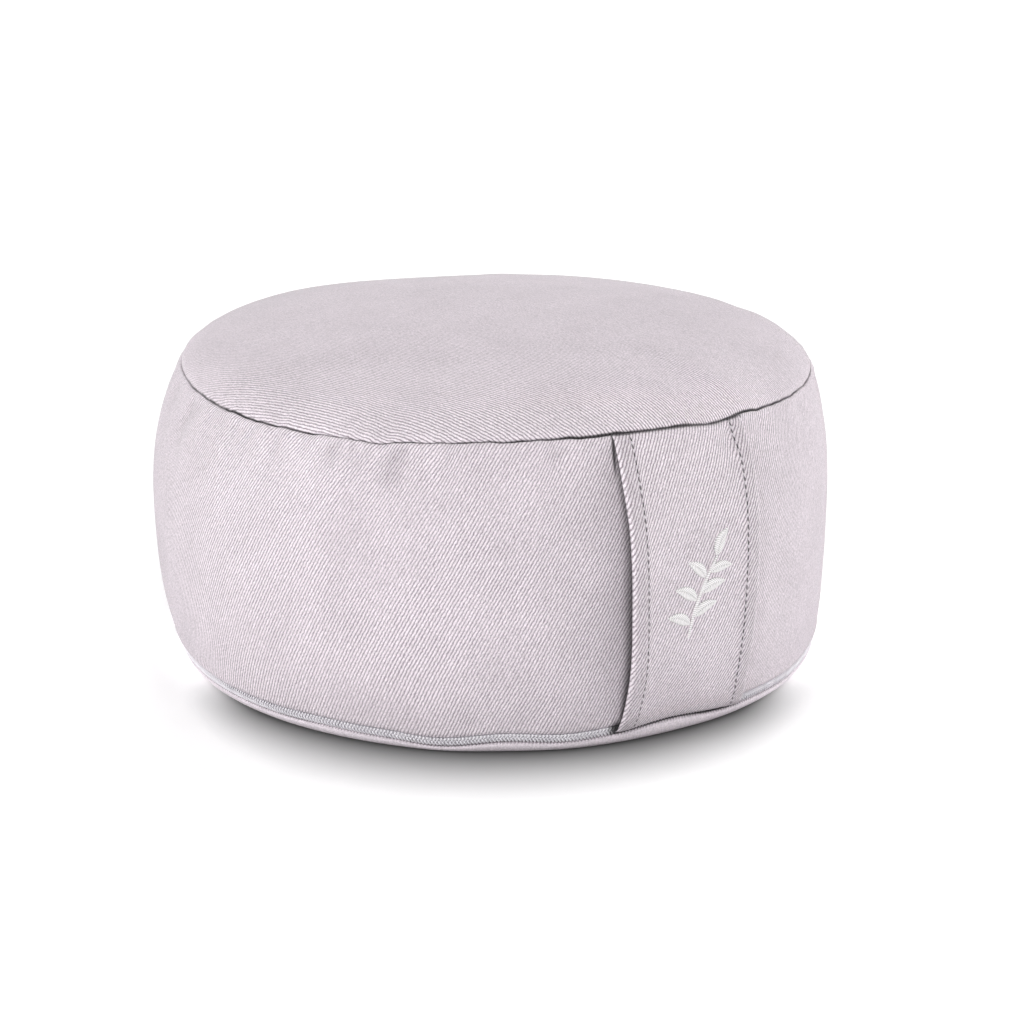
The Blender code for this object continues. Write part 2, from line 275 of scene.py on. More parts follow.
class NodeBench:
    """Adds shader nodes to one new material and links them."""

    def __init__(self, name: str) -> None:
        """Starts a material of that name with its shader."""
        self.material = bpy.data.materials.new(name)
        self.material.use_nodes = True
        self.tree = self.material.node_tree
        self.shader = self.tree.nodes["Principled BSDF"]

    def node(self, kind: str, **settings: object) -> bpy.types.Node:
        """Adds a node of that kind with some of its properties set."""
        made = self.tree.nodes.new(kind)
        for key, value in settings.items():
            setattr(made, key, value)
        return made

    def feed(self, socket: Socket, value: Signal | float | tuple) -> None:
        """Links an output to a socket, or sets the socket to a plain value."""
        if isinstance(value, Signal):
            self.tree.links.new(value.socket, socket)
        else:
            socket.default_value = value

    def filled(self, node: bpy.types.Node, *values: Signal | float | tuple) -> Signal:
        """Feeds the node's inputs in their order and gives its first output."""
        for socket, value in zip(node.inputs, values):
            self.feed(socket, value)
        return Signal(self, node.outputs[0])

    def math(self, operation: str, *values: Signal | float) -> Signal:
        """The result of a Math node with an output or a number for each input."""
        return self.filled(self.node("ShaderNodeMath", operation=operation), *values)

    def smooth(self, value: Signal, low: float, high: float, start: float = 0.0, end: float = 1.0) -> Signal:
        """Smooth step of a value from start at low to end at high.

        Args:
            value: the output to read.
            low: where the step begins.
            high: where the step ends.
            start: result below low.
            end: result above high.

        Returns:
            The stepped value.
        """
        made = self.node("ShaderNodeMapRange", interpolation_type="SMOOTHSTEP")
        return self.filled(made, value, low, high, start, end)

    def split(self, vector: Signal) -> tuple[Signal, Signal]:
        """The first two coordinates of a vector."""
        parts = self.node("ShaderNodeSeparateXYZ")
        self.feed(parts.inputs[0], vector)
        return Signal(self, parts.outputs[0]), Signal(self, parts.outputs[1])

    def split_uv(self, name: str) -> tuple[Signal, Signal]:
        """The two coordinates of the piece's UV map of that name."""
        return self.split(Signal(self, self.node("ShaderNodeUVMap", uv_map=name).outputs["UV"]))

    def joined(self, x: Signal, y: Signal, z: Signal | float = 0.0) -> Signal:
        """A vector made of three values."""
        return self.filled(self.node("ShaderNodeCombineXYZ"), x, y, z)

    def place(self) -> Signal:
        """The point's own Object coordinates."""
        return Signal(self, self.node("ShaderNodeTexCoord").outputs["Object"])

    def moved(self, vector: Signal, shift: float) -> Signal:
        """A vector moved by the same number of metres along each axis."""
        return self.filled(self.node("ShaderNodeVectorMath", operation="ADD"), vector, (shift, shift, shift))

    def noise(self, vector: Signal, scale: float, detail: float = 2.0) -> Signal:
        """Smooth noise from 0 to 1 at a scale in cells a metre."""
        made = self.node("ShaderNodeTexNoise")
        for label, value in (("Vector", vector), ("Scale", scale), ("Detail", detail)):
            self.feed(made.inputs[label], value)
        return Signal(self, made.outputs["Fac"])

    def value_of(self, name: str) -> Signal:
        """The piece's point value of that name."""
        return Signal(self, self.node("ShaderNodeAttribute", attribute_name=name).outputs["Fac"])

    def crease_shade(self, darkest: float) -> Signal:
        """1 in the open, and darkest where the painted shade of the point is 1."""
        return self.smooth(self.value_of("crease"), 0.0, 1.0, 1.0, darkest)

    def tinted(self, factor: Signal, low: Colour, high: Colour) -> Signal:
        """Colour between low at factor 0 and high at factor 1."""
        made = self.node("ShaderNodeMix", data_type="RGBA")
        for label, value in (("Factor", factor), ("A", (*low, 1.0)), ("B", (*high, 1.0))):
            self.feed(made.inputs[label], value)
        return Signal(self, made.outputs["Result"])

    def shaded(self, colour: Signal, share: Signal) -> Signal:
        """A colour multiplied by a share."""
        made = self.node("ShaderNodeVectorMath", operation="SCALE")
        self.feed(made.inputs["Scale"], share)
        return self.filled(made, colour)

    def raised(self, height: Signal, depth: float, below: Signal | None = None) -> Signal:
        """Bumped normal.

        Args:
            height: relief from 0 to 1.
            depth: the relief's real depth in metres.
            below: the normal of a coarser relief.

        Returns:
            The new normal.
        """
        made = self.node("ShaderNodeBump")
        self.feed(made.inputs["Distance"], depth)
        self.feed(made.inputs["Height"], height)
        if below is not None:
            self.feed(made.inputs["Normal"], below)
        return Signal(self, made.outputs[0])

    def dress(self, colour: Signal, normal: Signal, roughness: Signal | float, **numbers: float) -> None:
        """Joins colour, normal and roughness to the shader and sets its other numbers by their labels."""
        self.feed(self.shader.inputs["Base Color"], colour)
        self.feed(self.shader.inputs["Normal"], normal)
        self.feed(self.shader.inputs["Roughness"], roughness)
        for label, number in numbers.items():
            self.shader.inputs[label.replace("_", " ")].default_value = number


@dataclass(frozen=True)
class TwillCloth:
    """Cotton twill with three picks over and one under, its ribs rising to the right."""

    name: str
    colour: Colour = (0.832, 0.757, 0.810)
    groove_colour: Colour = (0.340, 0.296, 0.326)
    warp_pitch: float = 0.000375
    pick_pitch: float = 0.000700
    ends_in_repeat: int = 4
    groove_share: float = 0.46
    groove_floor: float = 0.12
    yarn_limits: tuple[float, float] = (0.05, 0.6)
    yarn_part: float = 0.2
    mean_groove: float = 0.45
    rib_depth: float = 0.00016
    yarn_depth: float = 0.00005
    wander: float = 0.00080
    wander_scale: float = 42.0
    jitter: float = 0.00080
    jitter_scale: float = 700.0
    mottle: float = 0.075
    fleck_stretch: float = 6.0
    fleck_scale: float = 260.0
    cloud_scale: float = 38.0
    cloud_part: float = 0.4
    grain: float = 0.105
    grain_scale: float = 1350.0
    speck_shift: float = 0.7
    speck_limits: tuple[float, float] = (0.34, 0.66)
    broken: tuple[float, float] = (0.45, 1.55)
    patch_scale: float = 30.0
    patch_limits: tuple[float, float] = (0.35, 0.65)
    patches: tuple[float, float] = (0.72, 1.12)
    # How dark the painted shade gets.
    darkest_painted_shade: float = 0.10
    roughness: float = 0.86
    gloss: float = 0.18
    sheen: float = 0.22
    sheen_roughness: float = 0.45

    def material(self, stitch: "StitchRow | None" = None) -> bpy.types.Material:
        """Twill from the UV map "weave", in metres: each warp is shifted up by one pick from the last.

        Args:
            stitch: the row of stitches whose needle holes show in the cloth, read from the UV map "hem".

        Returns:
            The material.
        """
        bench = NodeBench(self.name)
        u, v = bench.split_uv("weave")
        place = bench.place()
        for scale, reach in ((self.wander_scale, self.wander), (self.jitter_scale, self.jitter)):
            u = u + (bench.noise(place, scale, 1.0) - 0.5) * reach
        warp = u / self.warp_pitch
        picks = v / (self.pick_pitch * self.ends_in_repeat)
        rib = (picks - warp / self.ends_in_repeat).fraction().arch()
        stepped = (picks - warp.math("FLOOR") / self.ends_in_repeat).fraction()
        yarn = warp.fraction().arch() * stepped.arch()
        groove = bench.smooth(rib, self.groove_floor, math.sin(math.pi * self.groove_share), 1.0, 0.0)
        fine_groove = bench.smooth(yarn, *self.yarn_limits, 1.0, 0.0)
        groove = groove * (1 - self.yarn_part) + fine_groove * self.yarn_part
        speck = bench.noise(bench.moved(place, self.speck_shift), self.grain_scale)
        patch = bench.smooth(bench.noise(place, self.patch_scale), *self.patch_limits, *self.patches)
        ribbed = 1.0 - bench.value_of("even")
        kept = ribbed * (bench.smooth(speck, *self.speck_limits, *self.broken) * patch)
        groove = (groove - self.mean_groove) * kept + self.mean_groove
        # Painted light: where the painted shade is below 0, the cloth is paler and its grooves fade.
        painted_light = (bench.value_of("crease") * -1.0).math("MAXIMUM", 0.0)
        groove = groove * (1.0 - painted_light)
        fleck = bench.noise(bench.joined(u * self.fleck_stretch, v), self.fleck_scale)
        cloud = bench.noise(place, self.cloud_scale, 3.0)
        level = fleck * (1 - self.cloud_part) + cloud * self.cloud_part
        level = bench.smooth(level, *NOISE_LIMITS, 1.0 - self.mottle, 1.0 + self.mottle)
        lint = bench.noise(place, self.grain_scale)
        level = level * bench.smooth(lint, *NOISE_LIMITS, 1.0 - self.grain, 1.0 + self.grain)
        # Painted shade from the point value, in seams, creases and shadows.
        shade = level * bench.crease_shade(self.darkest_painted_shade)
        if stitch is not None:
            shade = shade * stitch.hole_shade(bench)
        relief = ribbed.math("MINIMUM", 1.0)
        normal = bench.raised(rib * relief, self.rib_depth)
        bench.dress(
            bench.shaded(bench.tinted(groove, self.colour, self.groove_colour), shade),
            bench.raised(yarn * relief, self.yarn_depth, normal),
            self.roughness,
            Specular_IOR_Level=self.gloss,
            Sheen_Weight=self.sheen,
            Sheen_Roughness=self.sheen_roughness,
        )
        return bench.material


@dataclass(frozen=True)
class StitchRow:
    """Lockstitch rows along the hems: the pitch, the distance from the fold and the size of a needle hole."""

    pitch: float = 0.0033
    margin: float = 0.0070
    # Painted shade in the needle holes and in the groove of the stitch row.
    hole_length: float = 0.00115
    hole_width: float = 0.00034
    hole_limits: tuple[float, float] = (0.55, 1.15)
    hole_dark: float = 0.20
    groove_width: float = 0.00040
    groove_limits: tuple[float, float] = (0.4, 1.3)
    groove_dark: float = 0.76
    # Painted highlight: a paler line along the fold.
    fold_width: float = 0.0018
    fold_highlight: float = 1.24
    thread_span: tuple[float, float] = (0.27, 0.73)

    def hole_shade(self, bench: NodeBench) -> Signal:
        """Painted shade in dark ovals where the needle went in and in the groove along them, and a painted
        highlight along the fold.
        """
        from_fold, along = bench.split_uv("hem")
        aside = (from_fold - self.margin) / self.hole_width
        lengthways = ((along / self.pitch).fraction() - 0.5) * (self.pitch / self.hole_length)
        away = (aside**2.0 + lengthways**2.0).math("SQRT")
        beside = abs(aside * (self.hole_width / self.groove_width))
        in_groove = bench.smooth(beside, *self.groove_limits, self.groove_dark, 1.0)
        wear_and_highlight = bench.smooth(from_fold, 0.0, self.fold_width, self.fold_highlight, 1.0)
        return bench.smooth(away, *self.hole_limits, self.hole_dark, 1.0) * in_groove * wear_and_highlight


@dataclass(frozen=True)
class SewingThread:
    """Two-ply sewing thread, its twist wound round the UV map "thread"."""

    name: str
    colour: Colour = (0.74, 0.69, 0.73)
    groove_colour: Colour = (0.45, 0.41, 0.45)
    twist_pitch: float = 0.00042
    slant: float = 0.9
    relief: float = 0.00005
    ply_top: float = 0.75
    fluff_scale: float = 900.0
    fluff_limits: tuple[float, float] = (0.2, 0.8)
    fluff_levels: tuple[float, float] = (0.92, 1.04)
    roughness: float = 0.62
    gloss: float = 0.35
    sheen: float = 0.1
    # Painted shade at the rim, broken into ticks.
    tick_pitch: float = 0.0011
    tick_least: float = 0.35
    tick_dark: float = 0.30

    def material(self) -> bpy.types.Material:
        """Slanted plies: dark where a sine of the place along and round the thread is low, and painted shade
        at the rim, in ticks.
        """
        bench = NodeBench(self.name)
        along, aside = bench.split_uv("thread")
        height = ((along + aside * self.slant) / self.twist_pitch).fraction().arch()
        fluff = bench.noise(bench.place(), self.fluff_scale)
        level = bench.smooth(fluff, *self.fluff_limits, *self.fluff_levels)
        # Painted shade at the rims and grooves of the satin, in ticks where the needle went in.
        half_tick = 0.5 * self.tick_pitch
        between = bench.smooth(along.math("PINGPONG", half_tick), 0.0, half_tick)
        rim = bench.value_of("rim") * (between * (1 - self.tick_least) + self.tick_least)
        level = level * bench.smooth(rim, 0.0, 1.0, 1.0, self.tick_dark)
        groove = bench.smooth(height, 0.0, self.ply_top, 1.0, 0.0)
        colour = bench.tinted(groove, self.colour, self.groove_colour)
        bench.dress(
            bench.shaded(colour, level),
            bench.raised(height, self.relief),
            self.roughness,
            Specular_IOR_Level=self.gloss,
            Sheen_Weight=self.sheen,
        )
        return bench.material


@dataclass(frozen=True)
class WovenTape:
    """Woven zip tape, its herringbone read from the UV map "tape"."""

    name: str = "zip_tape_weave"
    colour: Colour = (0.890, 0.868, 0.915)
    groove_colour: Colour = (0.660, 0.640, 0.685)
    thread_pitch: float = 0.00090
    stripe_width: float = 0.0024
    slope: float = 0.8
    rib_top: float = 0.8
    relief: float = 0.00008
    cloud_scale: float = 220.0
    cloud_levels: tuple[float, float] = (0.95, 1.04)
    roughness: float = 0.7
    gloss: float = 0.3
    shadow: float = 0.05

    def material(self) -> bpy.types.Material:
        """Herringbone: ribs slope up in one stripe and down in the next, with painted shadow where the band
        covers the tape.
        """
        bench = NodeBench(self.name)
        along, aside = bench.split_uv("tape")
        turn = along + aside.math("PINGPONG", self.stripe_width) * self.slope
        rib = (turn / self.thread_pitch).fraction().arch()
        cloud = bench.noise(bench.place(), self.cloud_scale, 3.0)
        # Painted shadow where the band stands over the tape.
        cloud = bench.smooth(cloud, *NOISE_LIMITS, *self.cloud_levels) * bench.crease_shade(self.shadow)
        colour = bench.tinted(bench.smooth(rib, 0.0, self.rib_top, 1.0, 0.0), self.colour, self.groove_colour)
        normal = bench.raised(rib, self.relief)
        bench.dress(bench.shaded(colour, cloud), normal, self.roughness, Specular_IOR_Level=self.gloss)
        return bench.material


@dataclass(frozen=True)
class NylonCoil:
    """Milky nylon wire of the zip's coil, with faint drawing lines along it."""

    name: str = "zip_coil_nylon"
    colour: Colour = (0.95, 0.925, 0.965)
    shade_colour: Colour = (0.85, 0.825, 0.87)
    line_stretch: float = 0.05
    line_scale: float = 5200.0
    cloud_scale: float = 160.0
    cloud_limits: tuple[float, float] = (0.35, 0.7)
    relief: float = 0.00003
    roughnesses: tuple[float, float] = (0.36, 0.50)
    gloss: float = 0.5
    shadow: float = 0.05

    def material(self) -> bpy.types.Material:
        """Cloudy white with fine lines along the wire, from the UV map wire, and painted shadow where the
        band stands over it.
        """
        bench = NodeBench(self.name)
        along, aside = bench.split_uv("wire")
        lines = bench.noise(bench.joined(along * self.line_stretch, aside), self.line_scale)
        cloud = bench.smooth(bench.noise(bench.place(), self.cloud_scale), *self.cloud_limits)
        colour = bench.tinted(cloud, self.colour, self.shade_colour)
        # Painted shadow from the point value, where the band stands over the coil.
        bench.dress(
            bench.shaded(colour, bench.crease_shade(self.shadow)),
            bench.raised(lines, self.relief),
            bench.smooth(lines, *NOISE_LIMITS, *self.roughnesses),
            Specular_IOR_Level=self.gloss,
        )
        return bench.material


@dataclass(frozen=True)
class StudioFloor:
    """White paper floor that glows a little, with a painted soft contact shadow of what stands on it.

    The shade lies mostly before and behind the cushion, along shade_azimuth, and nearly ends at its flanks.
    """

    name: str = "white_paper"
    colour: float = 0.93
    roughness: float = 0.9
    gloss: float = 0.1
    relief: float = 0.00002
    grain_scale: float = 60.0
    grain_limits: tuple[float, float] = (0.2, 0.8)
    grain_levels: tuple[float, float] = (0.995, 1.005)
    shade_azimuth: float = -31.3
    shade_radius: float = 0.1470
    shade_reach: float = 0.0515
    shade_depth: float = 0.850
    shade_power: float = 1.26
    reach_power: float = 1.6
    flank: tuple[float, float] = (0.34, 0.74)
    narrowest: float = 0.10
    flank_lift: float = 0.26
    flank_reach: float = 0.020
    near_glow: float = 0.17
    far_glow: float = 1.08
    glow_radii: tuple[float, float] = (0.20, 3.60)

    def material(self) -> bpy.types.Material:
        """White, with a painted shade round the foot that fades with the distance from a circle as a power.
        """
        bench = NodeBench(self.name)
        x, y = bench.split(bench.place())
        radius = (x**2.0 + y**2.0).math("SQRT")
        turn = math.radians(self.shade_azimuth)
        facing = abs((x * math.sin(turn) + y * -math.cos(turn)) / radius)
        reach = facing.math("MAXIMUM", self.narrowest) ** self.reach_power
        away = (radius - self.shade_radius) / self.shade_reach / reach
        left = (1.0 - away.math("MINIMUM", 1.0)).math("MINIMUM", 1.0)
        depth = bench.smooth(facing, *self.flank, 0.0, self.shade_depth)
        grain = bench.noise(bench.place(), self.grain_scale, 3.0)
        grain = bench.smooth(grain, *self.grain_limits, *self.grain_levels)
        level = (1.0 - depth * left**self.shade_power) * grain * self.colour
        colour = bench.joined(level, level, level)
        # Painted light: the glow is raised beside the flanks, lifting the floor's shade there.
        at_flank = bench.smooth(facing, *self.flank, 1.0, 0.0)
        outer_radius = self.shade_radius + self.flank_reach
        beside = bench.smooth(radius, self.shade_radius, outer_radius, self.flank_lift, 0.0)
        glow = bench.smooth(radius, *self.glow_radii, self.near_glow, self.far_glow) + at_flank * beside
        bench.dress(colour, bench.raised(grain, self.relief), self.roughness, Specular_IOR_Level=self.gloss)
        bench.feed(bench.shader.inputs["Emission Color"], colour)
        bench.feed(bench.shader.inputs["Emission Strength"], glow)
        return bench.material


@dataclass(frozen=True)
class CushionForm:
    """The uneven outer shape of the filled cushion, worked out from the same rows as its solid."""

    seam_radius: float = 0.1439
    top_level: float = 0.1328
    base_level: float = 0.0051
    crown_height: float = 0.0257
    base_roll: Table = (
        (0.0, 0.1373, 0.0000),
        (1.0, 0.1448, 0.0003),
        (2.0, 0.1478, 0.0014),
        (3.0, 0.1492, 0.0030),
        (4.0, 0.1496, 0.0043),
    )
    side: Table = (
        (0.0051, 0.1495),
        (0.0099, 0.1511),
        (0.0235, 0.1537),
        (0.0409, 0.1554),
        (0.0637, 0.1560),
        (0.0849, 0.1555),
        (0.1023, 0.1536),
        (0.1193, 0.1495),
        (0.1328, 0.1439),
    )
    crown: Table = (
        (0.00, 1.000),
        (0.30, 0.926),
        (0.50, 0.832),
        (0.66, 0.725),
        (0.80, 0.583),
        (0.87, 0.482),
        (0.93, 0.350),
        (0.975, 0.150),
        (1.00, 0.000),
    )
    lean_azimuth: float = -121.3
    lean_middle: float = 0.0029
    lean_top: float = 0.0006
    seam_waves: Table = ((1, 0.0009, -94.7), (2, 0.0013, 45.4), (3, 0.0018, -17.8))
    wander_power: float = 3.0
    crown_evening: float = 2.5
    top_pulls: Table = (
        (-50.5, -0.0010, 4.0),
        (7.0, -0.0012, 4.5),
        (15.0, 0.0008, 3.5),
        (86.0, -0.0009, 6.0),
        (148.0, 0.0008, 5.0),
        (-143.0, -0.0015, 14.0),
    )
    base_pulls: Table = (
        (-104.0, 0.0008, 9.0),
        (-61.0, 0.0005, 6.0),
        (-41.0, -0.0017, 6.0),
        (-30.0, 0.0009, 5.0),
        (-20.0, -0.0006, 4.5),
        (-2.0, 0.0030, 8.5),
        (27.0, -0.0008, 7.0),
        (52.0, 0.0007, 8.0),
        (93.0, -0.0010, 9.0),
        (131.0, 0.0009, 8.0),
        (172.0, -0.0008, 10.0),
        (-144.0, -0.0009, 9.0),
    )
    base_pull_levels: tuple[float, float] = (0.0120, 0.0420)
    side_lumps: Table = (
        (5, 1, 0.00045, 20.0),
        (8, 2, 0.00035, -33.0),
        (13, 2, 0.00025, 8.0),
        (17, 3, 0.00018, 61.0),
    )
    crown_lumps: Table = (
        (2, 0.62, 0.0012, -158.0),
        (3, 0.70, 0.0006, 15.0),
        (5, 0.80, 0.0004, -12.0),
    )
    crown_lump_width: float = 0.28
    top_puckers: Table = (
        (-104.0, 0.0050, 0.0010, 0.040, -0.010),
        (-94.0, 0.0050, 0.0012, 0.042, -0.012),
        (-79.0, 0.0045, 0.0009, 0.020, -0.004),
        (-68.6, 0.0045, 0.0011, 0.026, -0.005),
        (-58.0, 0.0040, 0.0008, 0.016, -0.003),
        (-52.5, 0.0040, 0.0010, 0.022, -0.003),
        (-46.3, 0.0045, 0.0016, 0.030, -0.004),
        (-21.4, 0.0042, 0.0011, 0.016, -0.001),
        (33.0, 0.0050, 0.0009, 0.022, 0.005),
        (52.0, 0.0060, 0.0011, 0.030, -0.006),
        (71.0, 0.0045, 0.0008, 0.020, 0.003),
        (88.0, 0.0055, 0.0013, 0.028, 0.004),
        (109.0, 0.0050, 0.0008, 0.021, -0.005),
        (127.0, 0.0045, 0.0010, 0.026, 0.002),
        (150.0, 0.0060, 0.0012, 0.031, 0.006),
        (169.0, 0.0045, 0.0007, 0.018, -0.003),
        (-168.0, 0.0050, 0.0010, 0.024, 0.004),
        (-146.0, 0.0055, 0.0012, 0.029, -0.006),
        (-124.0, 0.0045, 0.0009, 0.021, 0.003),
    )
    foot_puckers: Table = (
        (-88.0, 0.0070, 0.0008, 0.022, 0.006),
        (-52.0, 0.0060, 0.0006, 0.018, 0.004),
        (-33.5, 0.0045, 0.0010, 0.020, -0.008),
        (-27.0, 0.0045, 0.0008, 0.017, 0.006),
        (38.0, 0.0060, 0.0008, 0.022, 0.005),
        (66.0, 0.0060, 0.0007, 0.018, -0.005),
        (104.0, 0.0070, 0.0009, 0.024, 0.006),
        (140.0, 0.0060, 0.0006, 0.018, 0.003),
        (-160.0, 0.0070, 0.0008, 0.022, -0.005),
        (-123.0, 0.0060, 0.0007, 0.020, 0.004),
    )
    pucker_fade: float = 0.006
    pucker_full_share: float = 0.2
    pucker_spread: float = 0.8
    zip_reach: float = 136.0
    zip_clear: float = 3.0
    zip_fade: float = 4.0
    trough_depth: float = 0.0024
    trough_floor: tuple[float, float] = (0.0056, 0.0096)
    trough_top: float = 0.0101

    def pulls(self, azimuth: np.ndarray, table: Table) -> np.ndarray:
        """Sum of bell-shaped rises, from rows of azimuth, rise and half width in degrees."""
        total = np.zeros_like(azimuth)
        for middle, rise, half_width in table:
            total += rise * hump(turn_between(azimuth, middle), 0.0, half_width)
        return total

    def rise(self, azimuth: np.ndarray, level: np.ndarray) -> np.ndarray:
        """How far the wandering seams lift a point: the top seam's waves fade down the side as a power.

        Args:
            azimuth: degrees.
            level: metres on the even cushion.

        Returns:
            The lift in metres.
        """
        top = self.pulls(azimuth, self.top_pulls)
        for waves, height, crest in self.seam_waves:
            top = top + height * np.cos(np.radians(waves * turn_between(azimuth, crest)))
        base = self.pulls(azimuth, self.base_pulls)
        to_top = np.clip(level / self.top_level, 0.0, 1.0) ** self.wander_power
        to_base = np.clip(level / self.base_level, 0.0, 1.0)
        to_base = to_base * (1 - smooth_step(level, *self.base_pull_levels))
        return top * to_top + base * to_base

    def lumps(self, azimuth: np.ndarray, level: np.ndarray) -> np.ndarray:
        """How far the filling pushes the side out: waves round times half waves up."""
        total = np.zeros(np.broadcast_shapes(azimuth.shape, level.shape))
        up = np.clip((level - self.trough_top) / (self.top_level - self.trough_top), 0.0, 1.0)
        for around, upward, depth, crest in self.side_lumps:
            total += depth * np.cos(np.radians(around * (azimuth - crest))) * np.sin(np.pi * upward * up)
        return total

    def puckers(self, azimuth: np.ndarray, distance: np.ndarray, table: Table) -> np.ndarray:
        """Depth of folds that run from a seam: bells that widen and fade along their length.

        Args:
            azimuth: degrees.
            distance: metres from the seam.
            table: rows of azimuth, half width, depth, length and sideways drift.

        Returns:
            The depth in metres.
        """
        total = np.zeros(np.broadcast_shapes(azimuth.shape, distance.shape))
        for middle, half_width, depth, length, drift in table:
            along = distance / length
            arc = np.radians(turn_between(azimuth, middle)) * self.seam_radius - drift * along
            share = smooth_step(distance, 0.0, self.pucker_fade)
            share = share * (1 - smooth_step(along, self.pucker_full_share, 1.0))
            spread = half_width * (1 + self.pucker_spread * np.clip(along, 0.0, 1.0))
            total += depth * share * np.exp(-((arc / spread) ** 2))
        return total

    def zip_share(self, azimuth: np.ndarray) -> np.ndarray:
        """1 where the zip lies and 0 round the back, with a short smooth fade."""
        clear = self.zip_reach + self.zip_clear
        return 1 - smooth_step(np.abs(turn_between(azimuth, 0.0)), clear, clear + self.zip_fade)

    def trough(self, azimuth: np.ndarray, level: np.ndarray) -> np.ndarray:
        """Depth of the trough that holds the zip: straight walls and a level floor."""
        low, high = self.trough_floor
        into = np.clip((level - self.base_level) / (low - self.base_level), 0.0, 1.0)
        out_of = np.clip((self.trough_top - level) / (self.trough_top - high), 0.0, 1.0)
        return self.trough_depth * np.minimum(into, out_of) * self.zip_share(azimuth)

    def even_side(self, level: np.ndarray) -> np.ndarray:
        """Radius of the even side panel at a level."""
        return curve_through(self.side, level)[..., 0]

    def placed(self, azimuth: np.ndarray, radius: np.ndarray, height: np.ndarray) -> np.ndarray:
        """Points at an azimuth, a radius and a height, moved sideways by the cushion's lean.

        Args:
            azimuth: degrees.
            radius: metres from the axis.
            height: metres above the floor.

        Returns:
            The points, with x, y and z in the last axis.
        """
        turn = np.radians(azimuth)
        up = height / self.top_level
        lean = self.lean_middle * 4 * up * (1 - up) * (up < 1) + self.lean_top * up
        lean_turn = math.radians(self.lean_azimuth)
        x = radius * np.sin(turn) + lean * math.sin(lean_turn)
        y = -radius * np.cos(turn) - lean * math.cos(lean_turn)
        return together(x, y, height)

    def crown_swell(self, azimuth: np.ndarray, share: np.ndarray) -> np.ndarray:
        """Broad unevenness of the crown: waves round on a bell-shaped ring."""
        total = np.zeros(np.broadcast_shapes(azimuth.shape, share.shape))
        for around, middle, depth, crest in self.crown_lumps:
            ring = hump(share, middle, self.crown_lump_width) * np.clip(share / middle, 0.0, 1.0)
            total += depth * ring * np.cos(np.radians(around * (azimuth - crest)))
        return total


@dataclass(frozen=True)
class BandOutline:
    """How the carry band lies on the side panel, and the painted shadow in the gap behind it.

    Columns of rows: level, half width, sideways place, stand-off of the inner face, roundness across.
    """

    rows: Table = (
        (0.006, 0.0320, -0.0002, 0.0006, 1.00),
        (0.018, 0.0310, -0.0009, 0.0034, 0.90),
        (0.035, 0.0307, -0.0010, 0.0060, 0.70),
        (0.068, 0.0315, -0.0009, 0.0069, 0.20),
        (0.100, 0.0321, -0.0014, 0.0064, 0.20),
        (0.119, 0.0326, -0.0008, 0.0037, 0.65),
        (0.132, 0.0322, 0.0004, 0.0005, 1.00),
    )
    flattest: float = 0.01
    # Where the painted shadow lies: behind the band, in the slits, along the right edge and at the lower left
    # corner.
    gap_shares: tuple[float, float] = (-0.30, 0.95)
    smallest_gap: float = 0.0004
    slit_levels: tuple[float, float] = (0.1120, 0.1240)
    slit_width: float = 0.0013
    edge_width: float = 0.0016
    edge_dark: float = 0.34
    corner_level: float = 0.0085
    corner_height: float = 0.0048
    corner_reach: tuple[float, float] = (-0.0055, 0.0004)

    def at(self, level: np.ndarray) -> tuple[np.ndarray, np.ndarray, np.ndarray, np.ndarray]:
        """Half width, sideways place, stand-off of the inner face and roundness across at a level."""
        values = curve_through(self.rows, level)
        return values[..., 0], values[..., 1], values[..., 2], values[..., 3]

    def painted_shadow(self, form: CushionForm, azimuth: np.ndarray, level: np.ndarray) -> np.ndarray:
        """Painted shadow on the side panel behind the band, in the slits along its edges, beside its right
        edge and at its lower left corner.

        The band is bent to part of a circle, so its edge stands off by a gap; the painted shadow grows from
        the edge inwards over shares of that gap, and the slits are thin painted dark lines beside the edges
        near the top.

        Args:
            form: the cushion.
            azimuth: degrees.
            level: metres.

        Returns:
            The painted shadow from 0 to 1.
        """
        radius = form.even_side(level)
        half_width, place, stand_off, roundness = self.at(level)
        bend = np.maximum(roundness, self.flattest) / (radius + stand_off)
        turn = bend * half_width
        outward = radius + stand_off - (1 - np.cos(turn)) / bend
        sideways = np.sin(turn) / bend
        foot = radius * np.arctan2(sideways, outward)
        gap = np.maximum(np.hypot(sideways, outward) - radius, self.smallest_gap)
        across = np.radians(turn_between(azimuth, 0.0)) * radius - place
        in_left = across + foot
        in_right = foot - across
        inside = np.minimum(in_left, in_right)
        low, high = self.gap_shares
        behind = smooth_step(inside / gap, low, high)
        slit = smooth_step(level, *self.slit_levels)
        beside = slit * (1 - smooth_step(np.abs(inside), 0.0, self.slit_width))
        edge = self.edge_dark * (1 - smooth_step(np.abs(in_right), 0.0, self.edge_width))
        corner = hump(level, self.corner_level, self.corner_height) * smooth_step(in_left, *self.corner_reach)
        corner = corner * (in_right > 0)
        return np.maximum(np.maximum(behind, beside), np.maximum(edge, corner))


